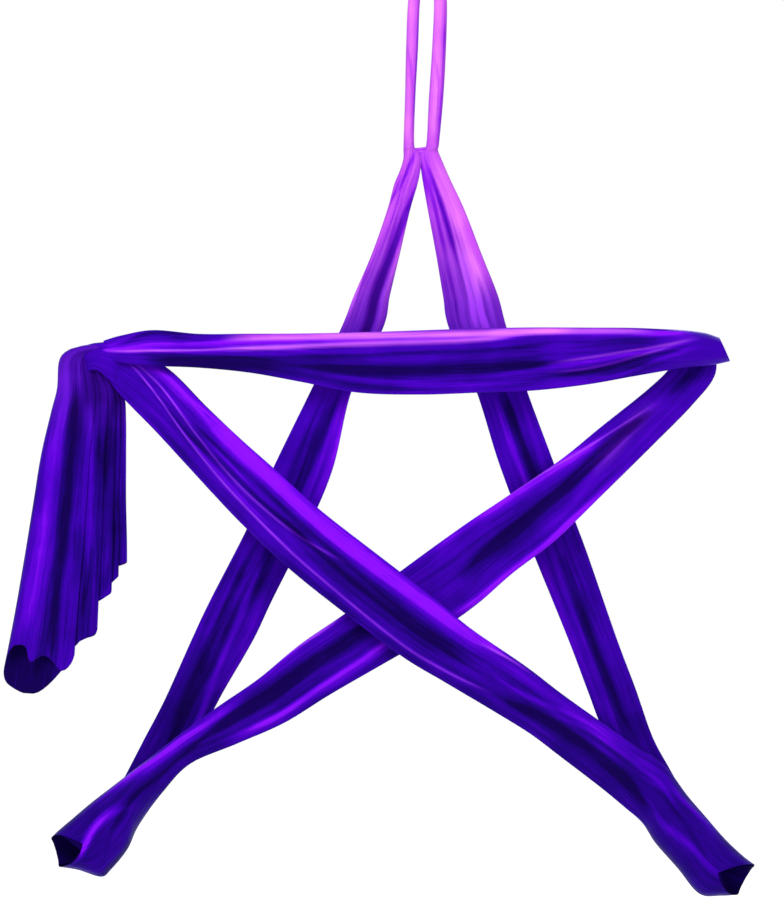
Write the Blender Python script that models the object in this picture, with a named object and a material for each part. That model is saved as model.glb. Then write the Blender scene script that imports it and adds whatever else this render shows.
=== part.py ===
"""Aerial silks on their ceiling plate: two carabiners, a ball-bearing swivel, a rescue eight and
one folded length of tricot that hangs as a five-point star.

Metres, +Z up. The origin is the middle of the ceiling plate's top face. X runs to the right of the
star as it is looked at, and the looker's side is -Y. The cloth's edges are given as pixels of a
784 x 914 photograph, each PIXEL wide at the star, with a depth as a share of STAR_DEPTH from the
plane of its corners. That plane is STAR_BACK behind the plate's middle, which brings the weight of
the stretches that bow forward under the plate.
"""
from math import ceil, cos, pi, radians, sin, sqrt

import bmesh
import bpy
from mathutils import Vector

# Clearances shared by every seat
SEAM_GAP = 0.0003
OVERRUN = 0.004
WELD_SINK = 0.003

# Ceiling plate and its welded bar
PLATE_SIDE = 0.120
PLATE_THICK = 0.008
PLATE_CORNER_R = 0.012
PLATE_EDGE_BEVEL = 0.0012
PLATE_HOLE_R = 0.0055
PLATE_HOLE_INSET = 0.020
CEILING_BAR_R = 0.006
CEILING_BAIL_R = 0.022
CEILING_BAIL_LEG = 0.028
WELD_LEG = 0.004

# Screw-gate carabiners
CARABINER_BAR_R = 0.006
CARABINER_BEND_R = 0.024
CARABINER_STRAIGHT = 0.060
GATE_STEP = 0.0003
GATE_PIN_Z = -0.0215
GATE_NOSE_Z = 0.0272
GATE_NOSE_GAP = 0.0006
GATE_SLOT_DEPTH = 0.0062
TONGUE_THICK = 0.0040
TONGUE_R = 0.0045
SIDE_PLAY = 0.0003
NOSE_LUG_THICK = 0.0030
NOSE_LUG_DROP = 0.0050
NOSE_LUG_WIDE = 0.0076
GATE_PIN_R = 0.0016
SLEEVE_LENGTH = 0.022
SLEEVE_WALL = 0.0023
SLEEVE_FLUTE = 0.0007
SLEEVE_REST_TOP_Z = 0.0210
GATE_BORE_R = 0.0028
PUSH_ROD_R = 0.0023
PUSH_ROD_LENGTH = 0.0035
SPRING_WIRE_R = 0.00045
SPRING_LENGTH = 0.0135
SPRING_TURNS = 5

# Ball-bearing swivel
BAIL_BAR_R = 0.006
BAIL_R = 0.019
BAIL_OPENING = 0.030
HOUSING_R = 0.0255
HOUSING_HEIGHT = 0.034
HOUSING_ROOF = 0.006
HOUSING_BORE_R = 0.017
HOUSING_SHOULDER = 0.004
HOUSING_GROOVE = 0.0012
HOUSING_GROOVE_WIDE = 0.0030
SPINDLE_R = 0.008
SPINDLE_FLANGE_R = 0.0235
SPINDLE_FLANGE_THICK = 0.013
SPINDLE_SHOULDER = 0.003
NUT_R = 0.0125
NUT_HEIGHT = 0.0075
WASHER_THICK = 0.0025
WASHER_INNER_R = 0.0086
BALL_R = 0.0020
BALL_COUNT = 10
CAGE_HALF_THICK = 0.0009
BALL_CIRCLE_R = 0.0126
RETAINER_HEIGHT = 0.006
SEAL_HEIGHT = 0.0026
SEAL_INNER_R = 0.0092
SEAL_OUTER_R = 0.0152

# Rescue eight
EIGHT_THICK_HALF = 0.0065
SMALL_RING_R = 0.019
SMALL_RING_HALF = 0.006
BIG_RING_R = 0.045
BIG_RING_HALF = 0.007
EIGHT_NECK = 0.014
EIGHT_NECK_HALF = 0.0095
EAR_LENGTH = 0.024
EAR_ROOT_HALF = 0.0085
EAR_TIP_HALF = 0.0050

# Cloth: one length of tricot folded in half at the hitch
PIXEL = 0.0023
AXIS_PX = 428
STRAND_ABOVE_VIEW = 0.0912
STAR_DEPTH = 0.100
STAR_BACK = 0.042
PANEL_WIDTH = 0.120
PANEL_HALF_THICK = 0.0080
LEG_X = 0.021
LEG_HALF = 0.0125
LEG_THICK_HALF = 0.0088
LEG_BELOW_EIGHT = 0.016
LEG_LEAD = 0.030
LEG_LEAD_BACK = 0.001
HITCH_BITE = 0.0012
KNOT_HALF_WIDE = 0.041
KNOT_HALF_HIGH = 0.029
KNOT_HALF_DEEP = 0.027
KNOT_GROOVE = 0.0035
LOOP_HALF_DEEP = 0.046
LOOP_WALL = 0.0065
LOOP_RIDGE = 0.0022
LOOP_NOTCH = 0.058
WRIST_HALF_DEEP = 0.036
WRIST_NOTCH = -0.026
GRIP_HALF_DEEP = 0.015
TAIL_HALF_THICK = 0.0011
TAIL_FOLD_DEEP = 0.016

# Sizes and places that follow from the sizes above
GATE_R = CARABINER_BAR_R - GATE_STEP
SLEEVE_BORE_R = CARABINER_BAR_R + SEAM_GAP
SLEEVE_OUTER_R = SLEEVE_BORE_R + SLEEVE_WALL
CARABINER_REACH = CARABINER_STRAIGHT / 2 + CARABINER_BEND_R
CEILING_BAR_Z = -(PLATE_THICK + CEILING_BAIL_LEG + CEILING_BAIL_R)
UPPER_CARABINER_Z = CEILING_BAR_Z + CEILING_BAR_R + CARABINER_BAR_R + SEAM_GAP - CARABINER_REACH
UPPER_HANG_Z = UPPER_CARABINER_Z - CARABINER_REACH
LINK_STEP = CARABINER_BAR_R + BAIL_BAR_R + SEAM_GAP
UPPER_BAIL_Z = UPPER_HANG_Z + LINK_STEP
HOUSING_TOP_Z = UPPER_BAIL_Z - BAIL_BAR_R - BAIL_OPENING
HOUSING_BOTTOM_Z = HOUSING_TOP_Z - HOUSING_HEIGHT
FLANGE_TOP_Z = HOUSING_BOTTOM_Z - SEAL_HEIGHT - 2 * SEAM_GAP
FLANGE_BOTTOM_Z = FLANGE_TOP_Z - SPINDLE_FLANGE_THICK
LOWER_BAIL_Z = FLANGE_BOTTOM_Z - BAIL_OPENING - BAIL_BAR_R
LOWER_CARABINER_Z = LOWER_BAIL_Z + LINK_STEP - CARABINER_REACH
LOWER_HANG_Z = LOWER_CARABINER_Z - CARABINER_REACH
SMALL_RING_Z = LOWER_HANG_Z + CARABINER_BAR_R + SMALL_RING_HALF + SEAM_GAP - SMALL_RING_R
NECK_TOP_Z = SMALL_RING_Z - SMALL_RING_R - SMALL_RING_HALF
NECK_Z = NECK_TOP_Z - EIGHT_NECK / 2
BIG_RING_Z = NECK_TOP_Z - EIGHT_NECK - BIG_RING_HALF - BIG_RING_R
EIGHT_BAR_Z = BIG_RING_Z - BIG_RING_R
VIEW_TOP_Z = EIGHT_BAR_Z - BIG_RING_HALF - STRAND_ABOVE_VIEW

# Each stretch of cloth as pairs of edge points, (x, y, depth share), down or along the stretch
LEFT_STRAND_PX = (
    ((408, 2, -0.44), (420, 2, -0.44)),
    ((405, 84, -0.21), (416, 84, -0.21)),
    ((404, 136, -0.06), (414, 136, -0.06)),
    ((407, 158, 0.0), (418, 158, 0.0)),
)
RIGHT_STRAND_PX = (
    ((434, 2, -0.44), (447, 2, -0.44)),
    ((430, 84, -0.21), (445, 84, -0.21)),
    ((427, 136, -0.06), (440, 136, -0.06)),
    ((423, 158, 0.0), (434, 158, 0.0)),
)
LEFT_DROP_PX = (
    ((408, 160, 0.0), (420, 162, 0.0)),
    ((400, 175, -0.02), (418, 175, -0.02)),
    ((387, 210, -0.06), (410, 210, -0.06)),
    ((372, 253, -0.12), (400, 253, -0.12)),
    ((354, 295, -0.18), (390, 295, -0.18)),
    ((341, 328, -0.22), (383, 328, -0.22)),
    ((311, 390, -0.28), (352, 390, -0.28)),
    ((273, 468, -0.26), (333, 468, -0.26)),
    ((247, 528, -0.16), (308, 528, -0.16)),
    ((210, 600, 0.04), (272, 600, 0.04)),
    ((191, 640, 0.18), (253, 640, 0.18)),
    ((164, 700, 0.38), (224, 690, 0.38)),
    ((146, 740, 0.50), (198, 736, 0.50)),
    ((130, 772, 0.50), (160, 782, 0.50)),
    ((116, 798, 0.49), (136, 814, 0.49)),
)
RIGHT_DROP_PX = (
    ((421, 160, 0.0), (434, 160, 0.0)),
    ((423, 175, -0.02), (448, 175, -0.02)),
    ((427, 210, -0.06), (465, 210, -0.06)),
    ((436, 253, -0.12), (480, 253, -0.12)),
    ((443, 295, -0.18), (495, 295, -0.18)),
    ((449, 328, -0.22), (503, 328, -0.22)),
    ((476, 390, -0.25), (527, 390, -0.25)),
    ((498, 460, -0.20), (553, 460, -0.20)),
    ((521, 522, -0.10), (576, 522, -0.10)),
    ((535, 557, -0.02), (589, 557, -0.02)),
    ((569, 640, 0.20), (618, 640, 0.20)),
    ((588, 690, 0.36), (637, 690, 0.36)),
    ((606, 735, 0.48), (654, 738, 0.48)),
    ((634, 775, 0.51), (670, 768, 0.51)),
    ((664, 812, 0.50), (688, 800, 0.50)),
)
REAR_DIAGONAL_PX = (
    ((676, 344, 0.43), (716, 344, 0.43)),
    ((668, 366, 0.36), (717, 374, 0.36)),
    ((645, 392, 0.12), (694, 404, 0.12)),
    ((600, 428, -0.30), (655, 443, -0.30)),
    ((560, 460, -0.60), (605, 492, -0.60)),
    ((507, 496, -0.80), (555, 540, -0.80)),
    ((468, 522, -0.92), (512, 573, -0.92)),
    ((430, 549, -0.99), (475, 605, -0.99)),
    ((388, 580, -1.02), (430, 636, -1.02)),
    ((345, 613, -0.98), (380, 665, -0.98)),
    ((300, 644, -0.90), (330, 694, -0.90)),
    ((259, 678, -0.80), (285, 722, -0.80)),
    ((217, 707, -0.68), (238, 743, -0.68)),
    ((172, 741, -0.58), (190, 761, -0.58)),
    ((132, 771, -0.51), (150, 790, -0.51)),
    ((108, 790, -0.485), (128, 814, -0.485)),
)
FRONT_DIAGONAL_PX = (
    ((98, 348, 0.0), (106, 366, 0.0)),
    ((118, 352, 0.0), (125, 396, 0.0)),
    ((160, 372, -0.16), (160, 436, -0.16)),
    ((205, 408, -0.60), (190, 468, -0.60)),
    ((240, 438, -0.90), (215, 495, -0.90)),
    ((273, 467, -1.15), (245, 526, -1.15)),
    ((320, 509, -1.35), (291, 569, -1.35)),
    ((378, 554, -1.48), (345, 612, -1.48)),
    ((430, 594, -1.50), (402, 655, -1.50)),
    ((470, 627, -1.42), (445, 681, -1.42)),
    ((525, 665, -1.20), (495, 711, -1.20)),
    ((560, 692, -1.00), (530, 733, -1.00)),
    ((596, 718, -0.80), (560, 756, -0.80)),
    ((640, 750, -0.61), (605, 793, -0.61)),
    ((668, 772, -0.54), (640, 823, -0.54)),
    ((690, 800, -0.52), (660, 842, -0.52)),
)
CROSS_BAND_PX = (
    ((104, 340, -0.04), (104, 360, -0.04)),
    ((122, 335, -0.18), (122, 363, -0.18)),
    ((154, 331, -0.42), (156, 366, -0.42)),
    ((200, 335, -0.62), (200, 368, -0.62)),
    ((250, 335, -0.82), (250, 373, -0.82)),
    ((300, 334, -1.02), (300, 382, -1.02)),
    ((358, 333, -1.16), (358, 393, -1.16)),
    ((420, 331, -1.22), (420, 395, -1.22)),
    ((480, 329, -1.20), (480, 393, -1.20)),
    ((532, 328, -1.10), (532, 391, -1.10)),
    ((585, 328, -0.95), (585, 385, -0.95)),
    ((630, 328, -0.76), (630, 377, -0.76)),
    ((665, 329, -0.59), (665, 370, -0.59)),
    ((700, 331, -0.455), (700, 367, -0.455)),
    ((717, 335, -0.432), (717, 365, -0.432)),
)
LEFT_LOOP_PX = (
    ((134, 770, 0.0), (138, 826, 0.0)),
    ((112, 787, 0.0), (128, 848, 0.0)),
    ((82, 811, 0.0), (114, 867, 0.0)),
    ((50, 839, 0.0), (90, 878, 0.0)),
)
RIGHT_LOOP_PX = (
    ((667, 768, 0.0), (640, 823, 0.0)),
    ((693, 803, 0.0), (660, 844, 0.0)),
    ((724, 835, 0.0), (682, 872, 0.0)),
    ((756, 866, 0.0), (712, 898, 0.0)),
)
WRIST_LOOP_PX = (
    ((680, 336, 0.0), (680, 372, 0.0)),
    ((700, 334, 0.0), (702, 375, 0.0)),
    ((719, 335, 0.0), (719, 377, 0.0)),
)
GRIP_PX = (
    ((124, 344, -0.06), (122, 370, -0.06)),
    ((112, 342, -0.04), (110, 368, -0.04)),
    ((98, 342, 0.0), (97, 363, 0.0)),
    ((84, 343, 0.04), (84, 362, 0.04)),
    ((70, 344, 0.08), (70, 368, 0.08)),
)
TAIL_PX = (
    ((63, 350, 0.10), (86, 362, 0.10)),
    ((57, 366, 0.14), (110, 380, 0.14)),
    ((56, 388, 0.18), (123, 396, 0.18)),
    ((50, 412, 0.18), (125, 424, 0.18)),
    ((40, 455, 0.16), (125, 455, 0.16)),
    ((33, 505, 0.12), (125, 495, 0.12)),
    ((24, 562, 0.08), (126, 530, 0.08)),
    ((11, 640, 0.04), (126, 563, 0.04)),
)
KNOT_CENTRE_PX = (421, 160, 0.0)

# The tail's hem below the straight line between its two corners, from left to right
TAIL_HEM_DROP_SHARES = (0.10, 0.34, 0.52, 0.66, 0.78, 0.86, 0.90, 0.78, 0.66, 0.60, 0.44, 0.20, 0.04)
TAIL_HEM_DROP = 0.170

# Shares of the tail's fall at which its folds are fully spread and its hem starts to step down
TAIL_SPREAD_SHARE = 1 / 3
HEM_START_SHARE = 0.375
TAIL_TOP_THICK_SHARE = 2.2

# How far forward the tail's folds stand, from left to right: a broad fold, a valley, then small ones
TAIL_FOLD_SHARES = (0.1, 1.0, 0.8, -0.2, -0.9, -0.5, 0.6, 0.3, -0.6, -0.1, 0.4, -0.3, -0.6)

# Heights of the folds across a stretch, as shares of its half thickness, edge to edge
FRONT_FOLD_SHARES = (0.0, 1.0, 0.38, 0.88, 0.28, 0.94, 0.36, 0.80, 0.30, 0.72, 0.0)
BACK_FOLD_SHARES = (0.0, 0.85, 0.50, 0.80, 0.0)
FOLD_SWAY_SHARE = 0.05
EDGE_ROUND_SHARE = 0.18

# Rings for each row of a table, and the strands' thickness beside the other stretches'
STRETCH_RINGS_SHARE = 1.5
STRAND_RINGS_SHARE = 2
STRAND_THICK_SHARE = 0.62


def paint(name, colour, roughness, metallic):
    """A Principled BSDF with one colour, roughness and metallic value."""
    material = bpy.data.materials.new(name)
    material.use_nodes = True
    shader = material.node_tree.nodes["Principled BSDF"]
    shader.inputs["Base Color"].default_value = (*colour, 1)
    shader.inputs["Roughness"].default_value = roughness
    shader.inputs["Metallic"].default_value = metallic
    return material


def place(name, mesh, material):
    """Puts a mesh in the scene as a smooth-shaded object of one material."""
    mesh.materials.clear()
    mesh.materials.append(material)
    thing = bpy.data.objects.new(name, mesh)
    bpy.context.scene.collection.objects.link(thing)
    mesh.shade_smooth()
    mesh.set_sharp_from_angle(angle=radians(40))
    return thing


def skin(name, rings, material, wrapped=False):
    """A closed body through equal rings: wrapped round on itself, or with a cap at each end."""
    shape = bmesh.new()
    rows = [[shape.verts.new(point) for point in ring] for ring in rings]
    count = len(rows[0])
    pairs = list(zip(rows, rows[1:]))
    if wrapped:
        pairs.append((rows[-1], rows[0]))
    for near, far in pairs:
        for i in range(count):
            j = (i + 1) % count
            shape.faces.new((near[i], near[j], far[j], far[i]))
    if not wrapped:
        shape.faces.new(rows[0])
        shape.faces.new(rows[-1])
    bmesh.ops.recalc_face_normals(shape, faces=shape.faces)
    bmesh.ops.triangulate(shape, faces=shape.faces)
    mesh = bpy.data.meshes.new(name)
    shape.to_mesh(mesh)
    shape.free()
    return place(name, mesh, material)


def turned(name, profile, sides, material):
    """A profile of (radius, height) points turned once round the Z axis."""
    shape = bmesh.new()
    verts = [shape.verts.new((radius, 0, height)) for radius, height in profile]
    edges = [shape.edges.new(pair) for pair in zip(verts, verts[1:] + verts[:1])]
    bmesh.ops.spin(shape, geom=verts + edges, axis=(0, 0, 1), cent=(0, 0, 0),
                   angle=2 * pi, steps=sides, use_merge=True)
    bmesh.ops.remove_doubles(shape, verts=shape.verts, dist=SEAM_GAP / 10)
    bmesh.ops.recalc_face_normals(shape, faces=shape.faces)
    mesh = bpy.data.meshes.new(name)
    shape.to_mesh(mesh)
    shape.free()
    return place(name, mesh, material)


def moved(thing, offset):
    """Shifts a piece's mesh, so that its place is in its points."""
    for vert in thing.data.vertices:
        vert.co += Vector(offset)
    return thing


def alter(thing, tool, operation):
    """Adds a Boolean with another piece, which then only guides."""
    change = thing.modifiers.new(operation.lower(), 'BOOLEAN')
    change.operation = operation
    change.solver = 'EXACT'
    change.object = tool
    tool.hide_render = True
    tool.display_type = 'WIRE'
    return thing


def cut(thing, *tools):
    """Takes other shapes away from a piece."""
    for tool in tools:
        alter(thing, tool, 'DIFFERENCE')
    return thing


def fuse(thing, *tools):
    """Joins other shapes to a piece as one solid."""
    for tool in tools:
        alter(thing, tool, 'UNION')
    return thing


def ring_round(centre, side, up, sides, turn=0.0):
    """Points of an ellipse with half axes side and up."""
    angles = [2 * pi * (i + turn) / sides for i in range(sides)]
    return [centre + side * cos(angle) + up * sin(angle) for angle in angles]


def bar(name, points, radius, sides, material):
    """A round bar along a path that lies in a plane through or beside the Z axis."""
    path = [Vector(point) for point in points]
    across = next((Vector(c) for c in ((0, 1, 0), (1, 0, 0), (0, 0, 1))
                   if all(abs((b - a).dot(Vector(c))) < SEAM_GAP / 10 for a, b in zip(path, path[1:]))))
    rings = []
    for i, point in enumerate(path):
        ahead = path[min(i + 1, len(path) - 1)] - point
        behind = point - path[max(i - 1, 0)]
        tangent = (ahead.normalized() + behind.normalized()).normalized()
        rings.append(ring_round(point, across * radius, tangent.cross(across) * radius, sides, 0.5))
    return skin(name, rings, material)


def rod(name, start, end, radius, sides, material):
    """A straight round rod between two points."""
    start, end = Vector(start), Vector(end)
    along = (end - start).normalized()
    side = along.orthogonal().normalized() * radius
    up = along.cross(side)
    return skin(name, [ring_round(start, side, up, sides), ring_round(end, side, up, sides)], material)


def slab(name, low, high, material):
    """A box between two corners."""
    (left, near, foot), (right, far, top) = low, high
    corners = ((left, near), (right, near), (right, far), (left, far))
    return skin(name, [[Vector((x, y, z)) for x, y in corners] for z in (foot, top)], material)


def arc(centre, radius, start, end, steps):
    """Points (a, b) on an arc, angles in degrees from the first axis to the second."""
    angles = [radians(start + (end - start) * i / steps) for i in range(steps + 1)]
    return [(centre[0] + radius * cos(angle), centre[1] + radius * sin(angle)) for angle in angles]


# Ceiling plate


def make_ceiling_plate(steel):
    """The drilled plate with its U bar welded underneath, in the XZ plane."""
    corner = PLATE_SIDE / 2 - PLATE_CORNER_R
    outline = []
    for x, y, turn in ((1, 1, 0), (-1, 1, 90), (-1, -1, 180), (1, -1, 270)):
        outline += arc((x * corner, y * corner), PLATE_CORNER_R, turn, turn + 90, 4)
    inner = 1 - 2 * PLATE_EDGE_BEVEL / PLATE_SIDE
    levels = ((0, inner), (-PLATE_EDGE_BEVEL, 1), (PLATE_EDGE_BEVEL - PLATE_THICK, 1), (-PLATE_THICK, inner))
    plate = skin("ceiling_plate", [[Vector((x * share, y * share, z)) for x, y in outline]
                                   for z, share in levels], steel)
    reach = PLATE_SIDE / 2 - PLATE_HOLE_INSET
    for x in (-reach, reach):
        for y in (-reach, reach):
            cut(plate, rod("plate_hole", (x, y, OVERRUN), (x, y, -PLATE_THICK - OVERRUN),
                           PLATE_HOLE_R, 16, steel))
    bend_z = CEILING_BAR_Z + CEILING_BAIL_R
    path = [(-CEILING_BAIL_R, 0, WELD_SINK - PLATE_THICK)]
    path += [(x, 0, z) for x, z in arc((0, bend_z), CEILING_BAIL_R, 180, 360, 12)]
    path += [(CEILING_BAIL_R, 0, WELD_SINK - PLATE_THICK)]
    fuse(plate, bar("ceiling_bail", path, CEILING_BAR_R, 12, steel))
    for x in (-CEILING_BAIL_R, CEILING_BAIL_R):
        profile = ((0, WELD_SINK - PLATE_THICK), (CEILING_BAR_R + WELD_LEG, WELD_SINK - PLATE_THICK),
                   (CEILING_BAR_R + WELD_LEG, -PLATE_THICK - WELD_LEG / 4),
                   (CEILING_BAR_R + WELD_LEG / 4, -PLATE_THICK - WELD_LEG), (0, -PLATE_THICK - WELD_LEG))
        fuse(plate, moved(turned("weld", profile, 16, steel), (x, 0, 0)))
    return plate


# Carabiners, in the YZ plane with the gate on the -Y side


def carabiner_path(shift):
    """The frame's centre line from the nose over the top, down the spine and up to the hinge."""
    straight = CARABINER_STRAIGHT / 2
    side = [(-CARABINER_BEND_R, GATE_NOSE_Z)]
    side += arc((0, straight), CARABINER_BEND_R, 180, 0, 12)
    side += arc((0, -straight), CARABINER_BEND_R, 0, -180, 12)
    side += [(-CARABINER_BEND_R, GATE_PIN_Z - GATE_R - SEAM_GAP)]
    return [(0, y, z + shift) for y, z in side]


def make_carabiner(label, z, steel, dark):
    """Frame, gate, pin, screw sleeve, push rod and spring of one carabiner centred at a height."""
    gate_y = -CARABINER_BEND_R
    pin_z = z + GATE_PIN_Z
    slot_half = TONGUE_THICK / 2 + SIDE_PLAY
    pin_bore = GATE_PIN_R + SIDE_PLAY
    gate_foot = pin_z - GATE_R - SEAM_GAP
    gate_top = z + GATE_NOSE_Z - GATE_NOSE_GAP

    frame = bar(label + "_carabiner_frame", carabiner_path(z), CARABINER_BAR_R, 10, steel)
    tongue = [Vector((0, gate_y + y, pin_z + h)) for y, h in arc((0, 0), TONGUE_R, 0, 180, 8)]
    tongue += [Vector((0, gate_y + y, gate_foot - OVERRUN)) for y in (-TONGUE_R, TONGUE_R)]
    sides = [[point + Vector((x, 0, 0)) for point in tongue] for x in (-TONGUE_THICK / 2, TONGUE_THICK / 2)]
    fuse(frame, skin("tongue", sides, steel))
    lug_half, lug_reach, nose_z = NOSE_LUG_THICK / 2, NOSE_LUG_WIDE / 2, z + GATE_NOSE_Z
    fuse(frame, slab("nose_lug", (-lug_half, gate_y - lug_reach, nose_z - NOSE_LUG_DROP),
                     (lug_half, gate_y + lug_reach, nose_z + OVERRUN), steel))
    reach = CARABINER_BAR_R + OVERRUN
    cut(frame, rod("tongue_bore", (-reach, gate_y, pin_z), (reach, gate_y, pin_z), pin_bore, 12, steel))

    profile = [(radius, pin_z + height) for radius, height in arc((0, 0), GATE_R, -90, 0, 4)]
    profile[0] = (0, pin_z - GATE_R)
    gate = turned(label + "_gate", profile + [(GATE_R, gate_top), (0, gate_top)], 16, steel)
    moved(gate, (0, gate_y, 0))
    bore_top = pin_z + TONGUE_R + 4 * SEAM_GAP + PUSH_ROD_LENGTH + SPRING_LENGTH
    near, far = gate_y - GATE_R - OVERRUN, gate_y + GATE_R + OVERRUN
    nose_half = lug_half + SIDE_PLAY
    cut(gate,
        slab("fork_slot", (-slot_half, near, pin_z - GATE_R - OVERRUN),
             (slot_half, far, pin_z + TONGUE_R + SEAM_GAP), steel),
        slab("nose_slot", (-nose_half, near, gate_top - GATE_SLOT_DEPTH),
             (nose_half, far, gate_top + OVERRUN), steel),
        rod("fork_bore", (-reach, gate_y, pin_z), (reach, gate_y, pin_z), pin_bore, 12, steel),
        rod("spring_bore", (0, gate_y, pin_z), (0, gate_y, bore_top), GATE_BORE_R, 12, steel))

    half = sqrt(GATE_R ** 2 - GATE_PIN_R ** 2)
    rod(label + "_gate_pin", (-half, gate_y, pin_z), (half, gate_y, pin_z), GATE_PIN_R, 12, dark)

    flutes = 12
    sleeve_top = z + SLEEVE_REST_TOP_Z
    sleeve_foot = sleeve_top - SLEEVE_LENGTH
    outer = [SLEEVE_OUTER_R - SLEEVE_FLUTE * (i % 2) for i in range(2 * flutes)]
    bore = [SLEEVE_BORE_R] * len(outer)
    rings = []
    for radii, level in ((outer, sleeve_foot), (outer, sleeve_top), (bore, sleeve_top), (bore, sleeve_foot)):
        rings.append([Vector((r * cos(pi * i / flutes), gate_y + r * sin(pi * i / flutes), level))
                      for i, r in enumerate(radii)])
    skin(label + "_screw_sleeve", rings, dark, wrapped=True)

    rod_foot = pin_z + TONGUE_R + 2 * SEAM_GAP
    rod_top = rod_foot + PUSH_ROD_LENGTH
    rod(label + "_push_rod", (0, gate_y, rod_foot), (0, gate_y, rod_top), PUSH_ROD_R, 10, dark)
    coil_r = GATE_BORE_R - SPRING_WIRE_R - SEAM_GAP
    coil_foot = rod_top + SEAM_GAP + SPRING_WIRE_R
    rise = SPRING_LENGTH - 2 * SPRING_WIRE_R - SEAM_GAP
    per_turn = 8
    steps = per_turn * SPRING_TURNS
    centres, rings = [], []
    for i in range(steps + 1):
        angle = 2 * pi * SPRING_TURNS * i / steps
        spoke = Vector((cos(angle), sin(angle), 0))
        centres.append(Vector((0, gate_y, coil_foot + rise * i / steps)) + spoke * coil_r)
        rings.append(ring_round(centres[-1], spoke * SPRING_WIRE_R, Vector((0, 0, SPRING_WIRE_R)), 4))
    skin(label + "_gate_spring", rings, steel)
    apart = min((one - other).length for i, one in enumerate(centres)
                for other in centres[i + per_turn // 2:])
    print(label, "gate spring, least gap between turns, mm:", round((apart - 2 * SPRING_WIRE_R) * 1000, 3))


# Swivel, turning about the Z axis


def make_bail(name, bar_z, root_z, steel):
    """A U bar in the XZ plane, from its bend at bar_z to a sunk root at root_z."""
    toward = 1 if root_z > bar_z else -1
    bend_z = bar_z + toward * BAIL_R
    path = [(-BAIL_R, 0, root_z + toward * WELD_SINK)]
    path += [(x, 0, z) for x, z in arc((0, bend_z), BAIL_R, 180, 180 + toward * 180, 12)]
    path += [(BAIL_R, 0, root_z + toward * WELD_SINK)]
    return bar(name, path, BAIL_BAR_R, 12, steel)


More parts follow.
